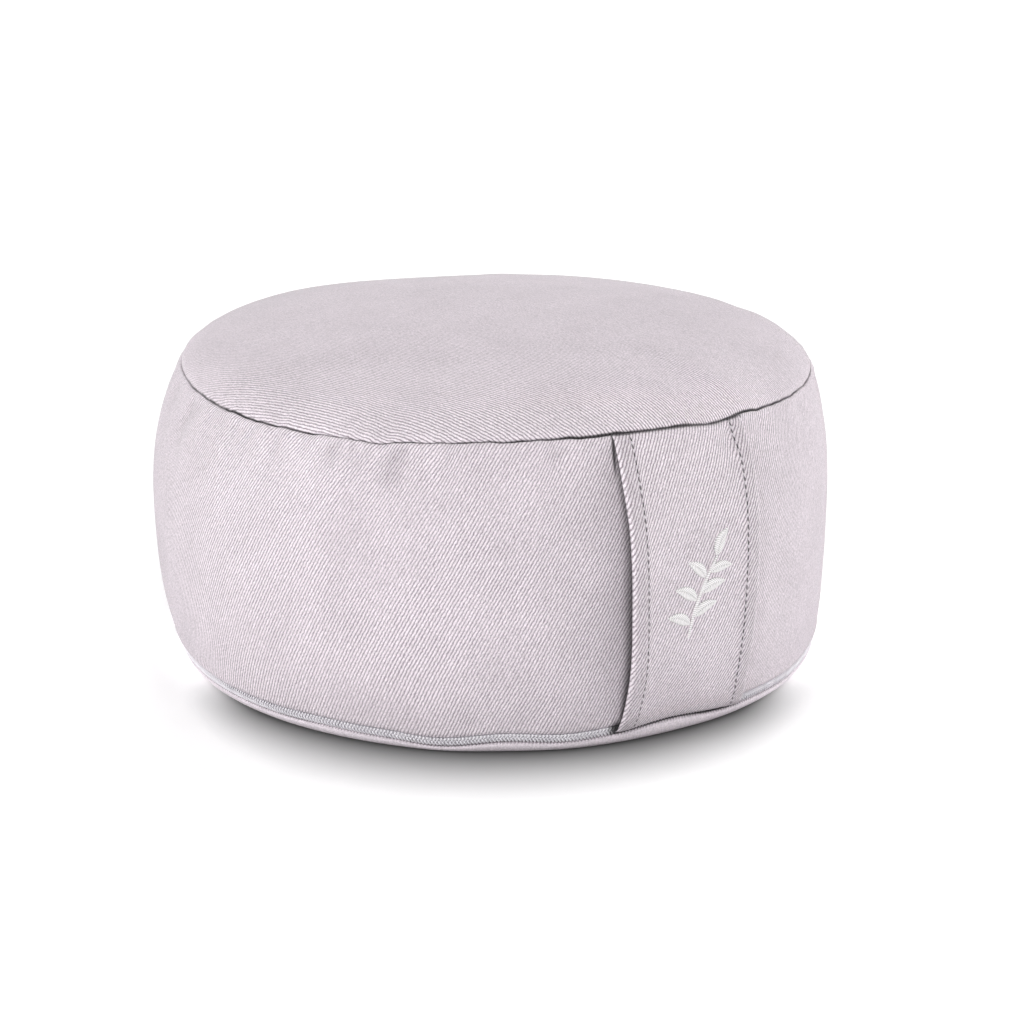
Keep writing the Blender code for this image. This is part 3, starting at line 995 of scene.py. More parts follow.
@dataclass
class CushionCover:
    """The filled cover: base, side and top panels with their seams, gathers and creases."""

    form: CushionForm
    band: BandOutline
    cloth: TwillCloth
    around: int = 600
    fine_azimuths: tuple[float, float, float] = (9.4, 13.8, 0.20)
    base_rings: int = 7
    roll_rings: int = 8
    side_rings: int = 64
    crown_rings: int = 36
    inner_radius: float = 0.02
    trough_walls: tuple[float, float] = (0.0053, 0.0099)
    zip_levels: tuple[float, ...] = (0.0064, 0.0074, 0.0086)
    fold_levels: tuple[float, ...] = (0.0104, 0.0109, 0.0115, 0.0122, 0.0132, 0.0145)
    even_from: float = 0.0160
    seam_steps: tuple[float, ...] = (
        0.0001, 0.00025, 0.00045, 0.0007, 0.0010, 0.0013, 0.0017, 0.0022, 0.0028, 0.0035, 0.0044, 0.0055,
    )
    pole_shares: tuple[float, ...] = (0.012, 0.003)
    seam_slope: float = math.radians(35.0)
    cut_depth: float = 0.0011
    cut_width: float = 0.00024
    # Painted shade along the seams: widths and limits of the dark lines, and where they fade.
    base_dark_width: float = 0.00028
    top_dark_widths: tuple[float, float] = (0.00052, 0.00060)
    top_dark_limits: tuple[float, float] = (0.8, 1.2)
    seam_fades: Table = ((-118.0, 28.0, 0.75), (44.0, 22.0, 0.50))
    roll_depth: float = 0.0006
    roll_width: float = 0.0032
    lip_height: float = 0.00028
    lip_middle: float = 0.0034
    lip_width: float = 0.0020
    seam_unevenness: Table = ((11, 0.14, 20.0), (23, 0.12, -48.0), (41, 0.12, 7.0), (83, 0.10, 33.0))
    seam_wobble: Table = (
        (31, 0.00016, 12.0),
        (53, 0.00013, -40.0),
        (89, 0.00010, 77.0),
        (139, 0.00007, -9.0),
    )
    wobble_reach: float = 0.0030
    gathers: Table = ((67, 0.00016, 5.0), (88, 0.00015, -21.0), (113, 0.00010, 48.0), (141, 0.00008, -77.0))
    gather_slow: Table = ((3, 0.5, 60.0), (7, 0.35, -100.0))
    gather_start: float = 0.002
    gather_reach: float = 0.010
    crown_gather_share: float = 0.5
    crown_creases: Table = (
        (-97.0, 0.0040, 0.0006, 0.016, 0.004),
        (-71.0, 0.0035, 0.0004, 0.010, 0.002),
        (-48.8, 0.0030, 0.0009, 0.013, -0.004),
        (-21.0, 0.0028, 0.0007, 0.011, -0.001),
        (3.0, 0.0035, 0.0005, 0.011, 0.002),
        (24.0, 0.0035, 0.0006, 0.012, 0.003),
        (60.0, 0.0040, 0.0006, 0.014, -0.003),
        (96.0, 0.0040, 0.0007, 0.015, 0.004),
        (131.0, 0.0035, 0.0005, 0.011, -0.002),
        (164.0, 0.0040, 0.0006, 0.013, 0.003),
        (-150.0, 0.0040, 0.0006, 0.014, -0.003),
        (-122.0, 0.0035, 0.0005, 0.012, 0.003),
    )
    side_creases: Table = (
        (-112.0, 0.0026, 0.0011, 0.022, -0.012),
        (-106.0, 0.0022, 0.0009, 0.018, -0.010),
        (-91.0, 0.0020, 0.0011, 0.012, -0.005),
        (-82.5, 0.0020, 0.0011, 0.012, -0.005),
        (-74.5, 0.0020, 0.0008, 0.016, -0.007),
        (-63.0, 0.0020, 0.0008, 0.014, -0.005),
        (-56.8, 0.0030, 0.0010, 0.020, -0.005),
        (-51.0, 0.0018, 0.0005, 0.010, -0.003),
        (-45.6, 0.0026, 0.0010, 0.022, -0.005),
        (-43.0, 0.0018, 0.0008, 0.013, 0.002),
        (-35.0, 0.0018, 0.0003, 0.009, 0.001),
        (-26.5, 0.0016, 0.0004, 0.008, 0.001),
        (-16.0, 0.0020, 0.0004, 0.010, 0.002),
        (17.0, 0.0020, 0.0008, 0.014, 0.004),
        (24.0, 0.0018, 0.0005, 0.010, 0.003),
        (41.0, 0.0022, 0.0005, 0.012, 0.003),
        (63.0, 0.0020, 0.0005, 0.010, -0.002),
        (97.0, 0.0020, 0.0005, 0.012, 0.003),
        (118.0, 0.0022, 0.0006, 0.014, -0.003),
        (139.0, 0.0018, 0.0004, 0.010, 0.002),
        (178.0, 0.0022, 0.0006, 0.013, 0.003),
        (-157.0, 0.0020, 0.0005, 0.011, -0.003),
        (-135.0, 0.0022, 0.0005, 0.014, 0.004),
    )
    weave_sway: Table = ((17, 0.00055, 30.0), (29, 0.00050, -70.0), (47, 0.00030, 10.0), (71, 0.00018, 95.0))
    sway_reach: float = 0.022
    fold_height: float = 0.00035
    fold_middle: float = 0.0116
    fold_width: float = 0.0010
    base_seam_depth: float = 0.0009
    base_seam_reach: float = 0.0004
    base_seam_share: float = 0.10
    base_seam_gaps: Table = (
        (-97.0, 8.0, 0.5),
        (-66.0, 4.0, 0.5),
        (-37.0, 8.0, 0.55),
        (5.5, 4.2, 0.80),
        (48.0, 9.0, 0.4),
        (104.0, 12.0, 0.6),
        (158.0, 10.0, 0.5),
        (-140.0, 9.0, 0.6),
    )
    repeats_round: int = 641
    top_weave_turn: float = math.radians(51.9)
    base_weave_turn: float = math.radians(8.0)
    # Painted shade in the zip trough and in the puckers.
    trough_dark: float = 0.06
    pucker_shade: float = 190.0
    pucker_darkest: float = 0.24
    evenness: tuple[float, float, float] = (1.0, -0.06, -0.70)
    middle_evenness: float = 0.20
    worn_shares: tuple[float, float] = (0.2, 0.9)
    ribbed_front: tuple[float, float, float] = (5.0, 62.0, 100.0)
    aside_evenness: float = 0.45
    aside_shares: tuple[float, float] = (0.1, 0.5)
    # Painted light on the rolled edge of the base.
    roll_painted_light: float = 1.0
    roll_radii: tuple[float, float] = (0.1370, 0.1448)

    def stations(self) -> tuple[np.ndarray, np.ndarray, np.ndarray]:
        """Radius, level and panel of each ring, from the middle of the base to the middle of the crown.

        Returns:
            Three arrays with a value for each ring; the ring of the top seam is the last of the side.
        """
        form = self.form
        low, high = form.trough_floor
        flat = np.linspace(self.inner_radius, form.base_roll[0][1], self.base_rings, endpoint=False)
        flat = np.concatenate([np.array(self.pole_shares)[::-1] * form.seam_radius, flat])
        roll = curve_through(form.base_roll, np.linspace(0.0, len(form.base_roll) - 1, self.roll_rings))
        base_radius = np.concatenate([flat, roll[:, 0]])
        base_level = np.concatenate([np.zeros_like(flat), roll[:, 1]])
        low_wall, high_wall = self.trough_walls
        near_zip = [form.base_level, low_wall, low, *self.zip_levels, high, high_wall, form.trough_top]
        steps = np.array(self.seam_steps)
        rest = np.linspace(self.even_from, form.top_level - steps[-1], self.side_rings, endpoint=False)
        near_top = form.top_level - np.append(steps[::-1], 0.0)
        side_level = np.concatenate([near_zip, self.fold_levels, rest, near_top])
        near_share = 1 - steps * math.cos(self.seam_slope) / form.seam_radius
        far_share = np.linspace(near_share[-1], 0.0, self.crown_rings, endpoint=False)[1:]
        share = np.concatenate([near_share, far_share, self.pole_shares])
        crown_level = form.top_level + form.crown_height * curve_through(form.crown, share)[..., 0]
        radius = np.concatenate([base_radius, form.even_side(side_level), share * form.seam_radius])
        level = np.concatenate([base_level, side_level, crown_level])
        counts = (len(base_radius), len(side_level), len(share))
        panel = np.repeat([Panel.BASE.value, Panel.SIDE.value, Panel.TOP.value], counts)
        return radius, level, panel

    def runs(self) -> tuple[np.ndarray, float]:
        """Distance of each ring along the profile, and that of the top seam."""
        radius, level, panel = self.stations()
        run = np.concatenate([[0.0], np.cumsum(np.hypot(np.diff(radius), np.diff(level)))])
        return run, run[np.flatnonzero(panel == Panel.SIDE.value)[-1]]

    def azimuths(self) -> np.ndarray:
        """Azimuths of the points round each ring: even, and closer together under the band's two edges."""
        even = np.linspace(-180.0, 180.0, self.around, endpoint=False)
        low, high, step = self.fine_azimuths
        fine = np.arange(low, high, step)
        kept = even[(np.abs(even) < low - 0.5 * step) | (np.abs(even) > high)]
        return np.sort(np.concatenate([kept, fine, -fine]))

    def surface(self) -> tuple[np.ndarray, np.ndarray]:
        """The finished surface: the turned profile, sunk by folds and seams and lifted by lumps.

        Returns:
            The points as rings x points round x 3, and the painted shade of each point, from 0 to 1,
            in the seam lines, the zip trough, the puckers and behind the band, or below 0 where painted light
            makes the rolled edge of the base paler.
        """
        form = self.form
        radius, level, panel = (values[:, None] for values in self.stations())
        azimuth = self.azimuths()[None, :]
        on_side = panel == Panel.SIDE.value
        on_top = panel == Panel.TOP.value
        on_roll = (panel == Panel.BASE.value) * smooth_step(radius, *self.roll_radii)
        run, seam_run = self.runs()
        from_seam = np.abs(run - seam_run)[:, None]
        slow = 1 + waves_round(azimuth, self.seam_unevenness)
        cut = self.cut_depth * slow * np.exp(-from_seam / self.cut_width)
        rolled = self.roll_depth * np.clip(1 - from_seam / self.roll_width, 0.0, 1.0) ** 2
        lip = self.lip_height * slow * hump(from_seam, self.lip_middle, self.lip_width)
        sunk_seam = cut + rolled - lip
        gathered = waves_round(azimuth, self.gathers) * (1 + waves_round(azimuth, self.gather_slow))
        gathered = gathered * smooth_step(from_seam, 0.0, self.gather_start)
        gathered = gathered * np.exp(-from_seam / self.gather_reach)
        down_side = form.top_level - level
        side_sunk = form.trough(azimuth, level) - form.lumps(azimuth, level)
        puckered = form.puckers(azimuth, down_side, form.top_puckers + self.side_creases)
        side_sunk = side_sunk + puckered
        side_sunk = side_sunk + form.puckers(azimuth, level - form.trough_top, form.foot_puckers)
        fold = self.fold_height * hump(level, self.fold_middle, self.fold_width) * form.zip_share(azimuth)
        side_sunk = side_sunk - fold
        pinch = self.base_seam_depth * np.exp(-np.abs(level - form.base_level) / self.base_seam_reach)
        side_sunk = side_sunk + pinch * self.seam_openness(azimuth)
        side_sunk = (side_sunk + gathered) * on_side
        creased = form.puckers(azimuth, from_seam, self.crown_creases) * on_top
        share = radius / form.seam_radius
        height = level + form.rise(azimuth, level) * np.where(on_top, share**form.crown_evening, 1.0)
        height = height + form.crown_swell(azimuth, share) * on_top - creased
        height = height - self.crown_gather_share * gathered * on_top
        wobble = waves_round(azimuth, self.seam_wobble) * hump(from_seam, 0.0, self.wobble_reach)
        height = height + wobble
        height = height - sunk_seam * math.sin(self.seam_slope)
        radius = radius - side_sunk - sunk_seam * math.cos(self.seam_slope)
        height = np.where(panel == Panel.BASE.value, np.maximum(height, 0.0), height)
        points = form.placed(azimuth, radius, height)
        # Painted shade: dark lines in the top and base seams, shade in the zip trough, in the puckers and
        # behind the band.
        dark_width = np.where(on_side, *self.top_dark_widths)
        open_share = 1.0
        for middle, half_width, faded in self.seam_fades:
            open_share = open_share * (1 - faded * hump(turn_between(azimuth, middle), 0.0, half_width))
        crease = hump(from_seam, 0.0, dark_width) * np.clip(slow, *self.top_dark_limits) * open_share
        base_line = hump(level, form.base_level, self.base_dark_width) * (panel < Panel.TOP.value)
        base_line = base_line * self.seam_openness(azimuth)
        hidden = form.trough(azimuth, level) / form.trough_depth * on_side
        behind_band = self.band.painted_shadow(form, azimuth, level) * on_side * (level > form.base_level)
        in_pucker = np.clip(puckered * self.pucker_shade, 0.0, self.pucker_darkest) * on_side
        crease = np.maximum(np.maximum(crease, base_line), np.maximum(self.trough_dark * hidden, behind_band))
        crease = np.maximum(crease, in_pucker)
        crease = np.clip(crease, 0.0, 1.0)
        # Painted light: below 0 on the rolled edge of the base, which the cloth then shows paler.
        return points, crease - self.roll_painted_light * on_roll * (1 - crease)

    def seam_openness(self, azimuth: np.ndarray) -> np.ndarray:
        """How far the base seam gapes, from 0 to 1: a low even share and bells at the places of the table."""
        total = np.full_like(azimuth, self.base_seam_share)
        for middle, half_width, openness in self.base_seam_gaps:
            total += openness * hump(turn_between(azimuth, middle), 0.0, half_width)
        return np.clip(total, 0.0, 1.0)

    def weave(self) -> tuple[np.ndarray, np.ndarray]:
        """Places in the cloth: round and up on the side, flat and turned on the top and the base.

        Returns:
            The places of the lower and the upper edge of each strip of faces, in metres.
        """
        radius, _, panel = self.stations()
        run, seam_run = self.runs()
        azimuth = np.radians(np.append(self.azimuths(), 180.0))[None, :]
        repeat = self.cloth.warp_pitch * self.cloth.ends_in_repeat
        strip_radius = self.repeats_round * repeat / math.tau
        sway = waves_round(np.degrees(azimuth), self.weave_sway)
        sway = sway * np.exp(-np.abs(run - seam_run)[:, None] / self.sway_reach)
        side = together(strip_radius * azimuth + sway, run[:, None])
        from_top = (run[-1] - run)[:, None]
        from_base = (run + radius[0])[:, None]
        top = self.turned(from_top * np.sin(azimuth), -from_top * np.cos(azimuth), self.top_weave_turn)
        base = self.turned(-from_base * np.sin(azimuth), -from_base * np.cos(azimuth), self.base_weave_turn)
        maps = np.stack([base, side, top])
        above = panel[1:]
        strips = np.arange(len(above))
        return maps[above, strips], maps[above, strips + 1]

    def turned(self, x: np.ndarray, y: np.ndarray, turn: float) -> np.ndarray:
        """Flat places turned by an angle, with both coordinates in the last axis."""
        u = x * math.cos(turn) + y * math.sin(turn)
        v = -x * math.sin(turn) + y * math.cos(turn)
        return np.stack([u, v], axis=-1)

    def build(self) -> bpy.types.Object:
        """Makes the cover, which stands for the filled cushion's solid."""
        points, crease = self.surface()
        maker = MeshMaker("cushion_cover")
        radius, _, panel = self.stations()
        share = radius / self.form.seam_radius
        on_top = panel == Panel.TOP.value
        # Ribs plainer towards the middle of the crown, from wear.
        wear_and_highlight = (1 - smooth_step(share, *self.worn_shares)) * on_top
        even = np.array(self.evenness)[panel] * (1 - wear_and_highlight) + self.middle_evenness * wear_and_highlight
        middle, near, far = self.ribbed_front
        aside = smooth_step(np.abs(turn_between(self.azimuths(), middle)), near, far)[None, :]
        aside = aside * (on_top * smooth_step(share, *self.aside_shares))[:, None]
        even = even[:, None] * (1 - aside) + self.aside_evenness * aside
        maker.add_tube(points, {"weave": self.weave()}, {"crease": crease, "even": even})
        piece = maker.finish(self.cloth.material())
        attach(piece, BODY)
        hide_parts("filled_cushion")
        return piece


@dataclass
class CarryBand:
    """The carry band: folded hems, rows of stitches and ends that tuck into the two seams."""

    form: CushionForm
    outline: BandOutline
    cloth: TwillCloth
    thread: SewingThread
    row: StitchRow = field(default_factory=StitchRow)
    low_level: float = 0.0060
    top_gap: float = 0.0002
    cloth_thickness: float = 0.0014
    hem_thickness: float = 0.0024
    hem_shares: tuple[float, float] = (0.690, 0.790)
    fold_fall: float = 0.0008
    fold_reach: float = 0.0030
    # Painted shade on the hems, the inner face and the tucked ends; bright_fold is where the right hem's
    # shade stops short of its fold.
    right_hem_shade: float = 0.22
    left_hem_shade: float = 0.24
    evenness: float = -0.35
    inner_dark: float = 0.55
    low_end_dark: float = 0.15
    end_shade_reach: float = 0.00038
    bright_fold: tuple[float, float] = (0.94, 0.985)
    end_share: float = 0.65
    end_levels: float = 0.010
    dents: Table = (
        (0.1240, 0.62, 0.0009, 0.0060),
        (0.0200, -0.30, 0.0006, 0.0120),
        (0.1270, 0.74, 0.0015, 0.0046),
        (0.1120, 0.86, 0.0004, 0.0060),
        (0.0300, 0.55, 0.0004, 0.0110),
        (0.0900, -0.20, 0.0003, 0.0160),
    )
    tuck_depth: float = 0.0020
    tuck_length: float = 0.0026
    channel_depth: float = 0.00028
    channel_width: float = 0.0007
    ripple_middle: float = 0.5
    ripple_spread: float = 0.45
    edge_phase: float = 2.0
    hem_ripples: Table = ((0.0094, 0.00010, 0.3), (0.0067, 0.00007, 1.9), (0.0153, 0.00012, 4.0))
    rows_up: int = 190
    across_front: int = 96
    across_back: int = 20
    around_edge: int = 7
    line_points: int = 1200
    thread_rings: int = 9
    thread_sides: int = 8
    thread_sunk: float = 0.00030
    thread_bow: float = 0.00046
    bow_power: float = 0.7
    thread_radius: float = 0.00028
    thread_taper: float = 0.35
    sweep_radius: float = 0.0003
    finished_size: tuple[float, float] = (0.065, 0.136)

    def levels(self, count: int) -> np.ndarray:
        """Evenly spaced levels from the lower end to the upper end."""
        return np.linspace(self.low_level, self.form.top_level - self.top_gap, count)

    def relief(self, share: np.ndarray, level: np.ndarray) -> np.ndarray:
        """Height of the outer face over its plain thickness: stitch channels and hem ripples.

        Args:
            share: place across, from -1 to 1.
            level: metres.

        Returns:
            The height in metres.
        """
        half_width = self.outline.at(level)[0]
        from_fold = (1 - np.abs(share)) * half_width
        channel = -self.channel_depth * hump(from_fold, self.row.margin, self.channel_width)
        ripple = np.zeros(np.broadcast_shapes(share.shape, level.shape))
        for length, height, phase in self.hem_ripples:
            ripple += height * np.sin(math.tau * level / length + phase + self.edge_phase * np.sign(share))
        margin = self.row.margin
        on_hem = hump(from_fold, self.ripple_middle * margin, self.ripple_spread * margin)
        return channel + ripple * on_hem

    def point(
        self, share: np.ndarray, level: np.ndarray, through: np.ndarray, proud: np.ndarray
    ) -> np.ndarray:
        """Points of the band: a strip bent to part of a circle across, carried up the side at its stand-off.

        Args:
            share: place across, from -1 to 1.
            level: metres.
            through: 0 on the inner face and 1 on the outer face.
            proud: metres added outwards.

        Returns:
            The points, with x, y and z in the last axis.
        """
        form = self.form
        half_width, sideways_place, stand_off, roundness = self.outline.at(level)
        top = form.top_level - self.top_gap
        from_end = np.minimum(level - self.low_level, top - level)
        at_end = smooth_step(from_end, 0.0, self.end_levels)
        hem = smooth_step(np.abs(share), *self.hem_shares)
        thickness = self.cloth_thickness + (self.hem_thickness - self.cloth_thickness) * hem
        thickness = thickness * (self.end_share + (1 - self.end_share) * at_end)
        sunk = self.tuck_depth * np.clip(1 - from_end / self.tuck_length, 0.0, 1.0) ** 2
        for middle, side, depth, radius in self.dents:
            away = np.hypot(level - middle, (share - side) * half_width)
            sunk = sunk + depth * np.exp(-((away / radius) ** 2))
        from_fold = (1 - np.abs(share)) * half_width
        fall = self.fold_fall * np.clip(1 - from_fold / self.fold_reach, 0.0, 1.0) ** 2
        out = through * (thickness - fall) + proud - sunk
        bend = np.maximum(roundness, self.outline.flattest) / (form.even_side(level) + stand_off)
        turn = bend * share * half_width
        sideways = np.sin(turn) * (1 / bend + out)
        outward = form.even_side(level) + stand_off + out - (1 - np.cos(turn)) / bend
        azimuth = np.degrees(np.arctan2(sideways, outward) + sideways_place / form.even_side(level))
        return form.placed(azimuth, np.hypot(sideways, outward), level + form.rise(azimuth, level))

    def outer(self, share: np.ndarray, level: np.ndarray, lift: np.ndarray | float = 0.0) -> np.ndarray:
        """Points on the outer face, raised by lift."""
        return self.point(share, level, np.ones_like(share), self.relief(share, level) + lift)

    def frame_at(self, share: np.ndarray, level: np.ndarray) -> tuple[np.ndarray, np.ndarray, np.ndarray]:
        """Directions to the right, up the band and outwards at points of the outer face.

        Args:
            share: place across, from -1 to 1.
            level: metres.

        Returns:
            Three arrays of unit vectors.
        """
        small = 1e-4
        right = unit(self.outer(share + small, level) - self.outer(share - small, level))
        up = unit(self.outer(share, level + small) - self.outer(share, level - small))
        return right, up, unit(np.cross(right, up))

    def section(self) -> tuple[np.ndarray, np.ndarray]:
        """Closed outline of the cross-section: outer face, rounded right fold, inner face, rounded left fold.

        Returns:
            The share across and the share through the thickness of each point.
        """
        round_share = 0.5 * self.hem_thickness / self.outline.rows[3][1]
        straight = 1 - round_share
        front = np.linspace(-straight, straight, self.across_front)
        back = np.linspace(straight, -straight, self.across_back)
        turn = np.linspace(math.pi / 2, -math.pi / 2, self.around_edge + 2)[1:-1]
        fold_share = straight + round_share * np.cos(turn)
        fold_through = 0.5 + 0.5 * np.sin(turn)
        share = np.concatenate([front, fold_share, back, -fold_share[::-1]])
        through = np.concatenate([np.ones_like(front), fold_through, np.zeros_like(back), fold_through[::-1]])
        return share, through

    def build(self) -> bpy.types.Object:
        share, through = (values[None, :] for values in self.section())
        level = self.levels(self.rows_up)[:, None]
        share_grid = share + 0.0 * level
        facing = smooth_step(through, 0.5, 1.0)
        points = self.point(share_grid, level, through, self.relief(share_grid, level) * facing)
        middle = self.outer(np.zeros_like(level[:, 0]), level[:, 0])
        run = run_along(middle)[:, None]
        half_width = self.outline.at(level)[0]
        wrapped = np.concatenate([share, share[:, :1]], axis=1)
        weave = together(wrapped * half_width, run)
        hem = together((1 - np.abs(wrapped)) * half_width, run)
        # Painted shade: at the tucked ends, on the right hem short of its fold, on the left hem and on the
        # inner face.
        crease = np.exp(-(level[-1] - level) / self.end_shade_reach) + 0.0 * share
        crease = np.maximum(crease, self.low_end_dark * np.exp(-(level - level[0]) / self.end_shade_reach))
        on_right_hem = smooth_step(share, *self.hem_shares) * (1 - smooth_step(share, *self.bright_fold))
        crease = np.maximum(crease, self.right_hem_shade * on_right_hem)
        crease = np.maximum(crease, self.left_hem_shade * smooth_step(-share, *self.hem_shares))
        crease = np.maximum(crease, self.inner_dark * (1 - facing))
        maker = MeshMaker("carry_band_cloth")
        values = {"crease": crease, "even": np.full_like(crease, self.evenness)}
        maker.add_tube(points, {"weave": strip_uv(weave), "hem": strip_uv(hem)}, values)
        piece = maker.finish(self.cloth.material(self.row))
        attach(piece, BODY)
        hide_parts("carry_band")
        return piece

    def stitch_line(self, edge: Edge) -> tuple[np.ndarray, np.ndarray, np.ndarray]:
        """Places along one row of stitches.

        Args:
            edge: which hem.

        Returns:
            The level, the share across and the distance along the band's middle of each point.
        """
        level = self.levels(self.line_points)
        share = edge.value * (1 - self.row.margin / self.outline.at(level)[0])
        return level, share, run_along(self.outer(np.zeros_like(level), level))

    def build_stitches(self) -> bpy.types.Object:
        """Makes both rows of stitches: short bowed threads, thin at the needle holes, in one mesh."""
        maker = MeshMaker("band_stitches")
        ring = np.linspace(0.0, 1.0, self.thread_rings)
        sweep = np.linspace(0.0, math.tau, self.thread_sides + 1)
        around = sweep[None, :-1, None]
        bow = np.sin(math.pi * ring)
        lift = -self.thread_sunk + self.thread_bow * bow**self.bow_power
        half = self.thread_radius * (self.thread_taper + (1 - self.thread_taper) * bow**0.5)
        for edge in Edge:
            level, share, run = self.stitch_line(edge)
            for number in range(math.floor(run[-1] / self.row.pitch - 1)):
                start = (number + 0.5) * self.row.pitch
                at = start + self.row.pitch * np.interp(ring, (0.0, 1.0), self.row.thread_span)
                at_level = np.interp(at, run, level)
                at_share = np.interp(at, run, share)
                right, _, out = self.frame_at(at_share, at_level)
                middle = self.outer(at_share, at_level, lift)
                rim = right[:, None] * np.cos(around) + out[:, None] * np.sin(around)
                points = middle[:, None] + rim * half[:, None, None]
                uv = together(at[:, None], self.sweep_radius * sweep[None, :])
                maker.add_tube(points[:, ::-1], {"thread": strip_uv(uv)})
        piece = maker.finish(self.thread.material())
        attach(piece, BODY)
        return piece


@dataclass(frozen=True)
class Leaf:
    """One leaf of the sprig: where its stalk leaves the stem, its direction, its length and its width."""

    along_stem: float
    turn: float
    length: float
    width: float


@dataclass
class LeafSprig:
    """A plain sprig of leaves in satin stitch on the band."""

    band: CarryBand
    thread: SewingThread
    middle: tuple[float, float] = (0.0022, 0.0700)
    size: float = 1.15
    stem: Table = (
        (0.0, -0.0060, -0.0180),
        (0.3, -0.0036, -0.0085),
        (0.6, 0.0004, 0.0010),
        (1.0, 0.0062, 0.0110),
    )
    leaves: tuple[Leaf, ...] = (
        Leaf(0.16, 158.0, 0.0105, 0.0046),
        Leaf(0.24, 22.0, 0.0110, 0.0048),
        Leaf(0.42, 150.0, 0.0110, 0.0048),
        Leaf(0.50, 16.0, 0.0112, 0.0048),
        Leaf(0.68, 138.0, 0.0102, 0.0044),
        Leaf(0.76, 8.0, 0.0100, 0.0044),
        Leaf(0.98, 62.0, 0.0110, 0.0046),
    )
    stem_width: float = 0.0014
    # stem_rim, rim_power and rib_shade set the painted shade at the pads' edges and down the leaves' grooves.
    stem_rim: float = 0.3
    pad_height: float = 0.00080
    sunk: float = 0.00020
    rib_share: float = 0.60
    rim_power: float = 5.0
    rib_width: float = 0.14
    rib_shade: float = 0.55
    stalk_gap: float = 0.0004
    over_points: int = 16
    under_points: int = 3
    stem_points: int = 44
    stem_end: float = 0.12
    stem_taper: float = 0.3
    leaf_points: int = 26
    leaf_curl: float = 0.10
    leaf_power: float = 0.85
    thinnest: float = 0.00006

    def on_band(self, across: np.ndarray, along: np.ndarray, lift: np.ndarray) -> np.ndarray:
        """Points over the band's outer face, from metres across and up from the sprig's middle."""
        level = self.middle[1] + along
        share = (self.middle[0] + across) / self.band.outline.at(level)[0]
        return self.band.outer(share, level, lift)

    def pad(self, maker: MeshMaker, spine: np.ndarray, half_width: np.ndarray, rib: float) -> None:
        """Adds a raised pad of satin stitch: a lens across its spine, with a groove down the middle.

        Args:
            maker: the mesh to add to.
            spine: places along the middle, as points x 2, in metres.
            half_width: half the width at each point.
            rib: how much of the height the groove takes.
        """
        tangent = unit(np.gradient(spine, axis=0))
        aside = np.stack([tangent[:, 1], -tangent[:, 0]], axis=-1)
        over = np.linspace(-1.0, 1.0, self.over_points)
        under = np.linspace(1.0, -1.0, self.under_points + 2)[1:-1]
        across = np.concatenate([over, under])
        ridge = np.sqrt(1 - over**2) * (1 - rib * hump(over, 0.0, self.rib_width))
        height = np.concatenate([ridge, np.zeros_like(under)])
        places = spine[:, None] + aside[:, None] * (across[None, :] * half_width[:, None])[..., None]
        full = half_width / half_width.max()
        lift = self.pad_height * height[None, :] * full[:, None] ** 0.5 - self.sunk * (height[None, :] == 0)
        points = self.on_band(places[..., 0], places[..., 1], lift)
        wrapped = np.concatenate([across, across[:1]])
        uv = together(run_along(spine)[:, None], np.abs(wrapped)[None, :] * half_width[:, None])
        # Painted shade: darker at the edges of each pad, and down the groove of each leaf.
        rim_share = 1.0 if rib > 0 else self.stem_rim
        rim = rim_share * np.abs(across) ** self.rim_power
        rim = rim + self.rib_shade * (rib > 0) * hump(across, 0.0, self.rib_width)
        rim = np.clip(rim, 0.0, 1.0)[None, :] + 0.0 * half_width[:, None]
        maker.add_tube(points, {"thread": strip_uv(uv)}, {"rim": rim})

    def build(self) -> bpy.types.Object:
        """Makes the stem and the leaves in one mesh."""
        maker = MeshMaker("leaf_sprig")
        stem = self.size * curve_through(self.stem, np.linspace(0.0, 1.0, self.stem_points))
        taper = np.sin(np.linspace(self.stem_end, math.pi - self.stem_end, self.stem_points))
        taper = taper**self.stem_taper
        self.pad(maker, stem, 0.5 * self.stem_width * taper, 0.0)
        along = np.linspace(0.0, 1.0, self.leaf_points)
        arch = np.sin(math.pi * along)
        outline = np.sin(math.pi * along**self.leaf_power) ** self.leaf_power
        for leaf in self.leaves:
            root = self.size * curve_through(self.stem, leaf.along_stem)
            length = self.size * leaf.length
            turn = math.radians(leaf.turn)
            way = np.array([math.cos(turn), math.sin(turn)])
            curl = np.array([-way[1], way[0]]) * (1 if way[0] < 0 else -1)
            spine = root + way * (self.stalk_gap + length * along)[:, None]
            spine = spine - curl * (self.leaf_curl * length * arch)[:, None]
            half_width = 0.5 * self.size * leaf.width * outline
            self.pad(maker, spine, np.maximum(half_width, self.thinnest), self.rib_share)
        piece = maker.finish(self.thread.material())
        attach(piece, BODY)
        return piece


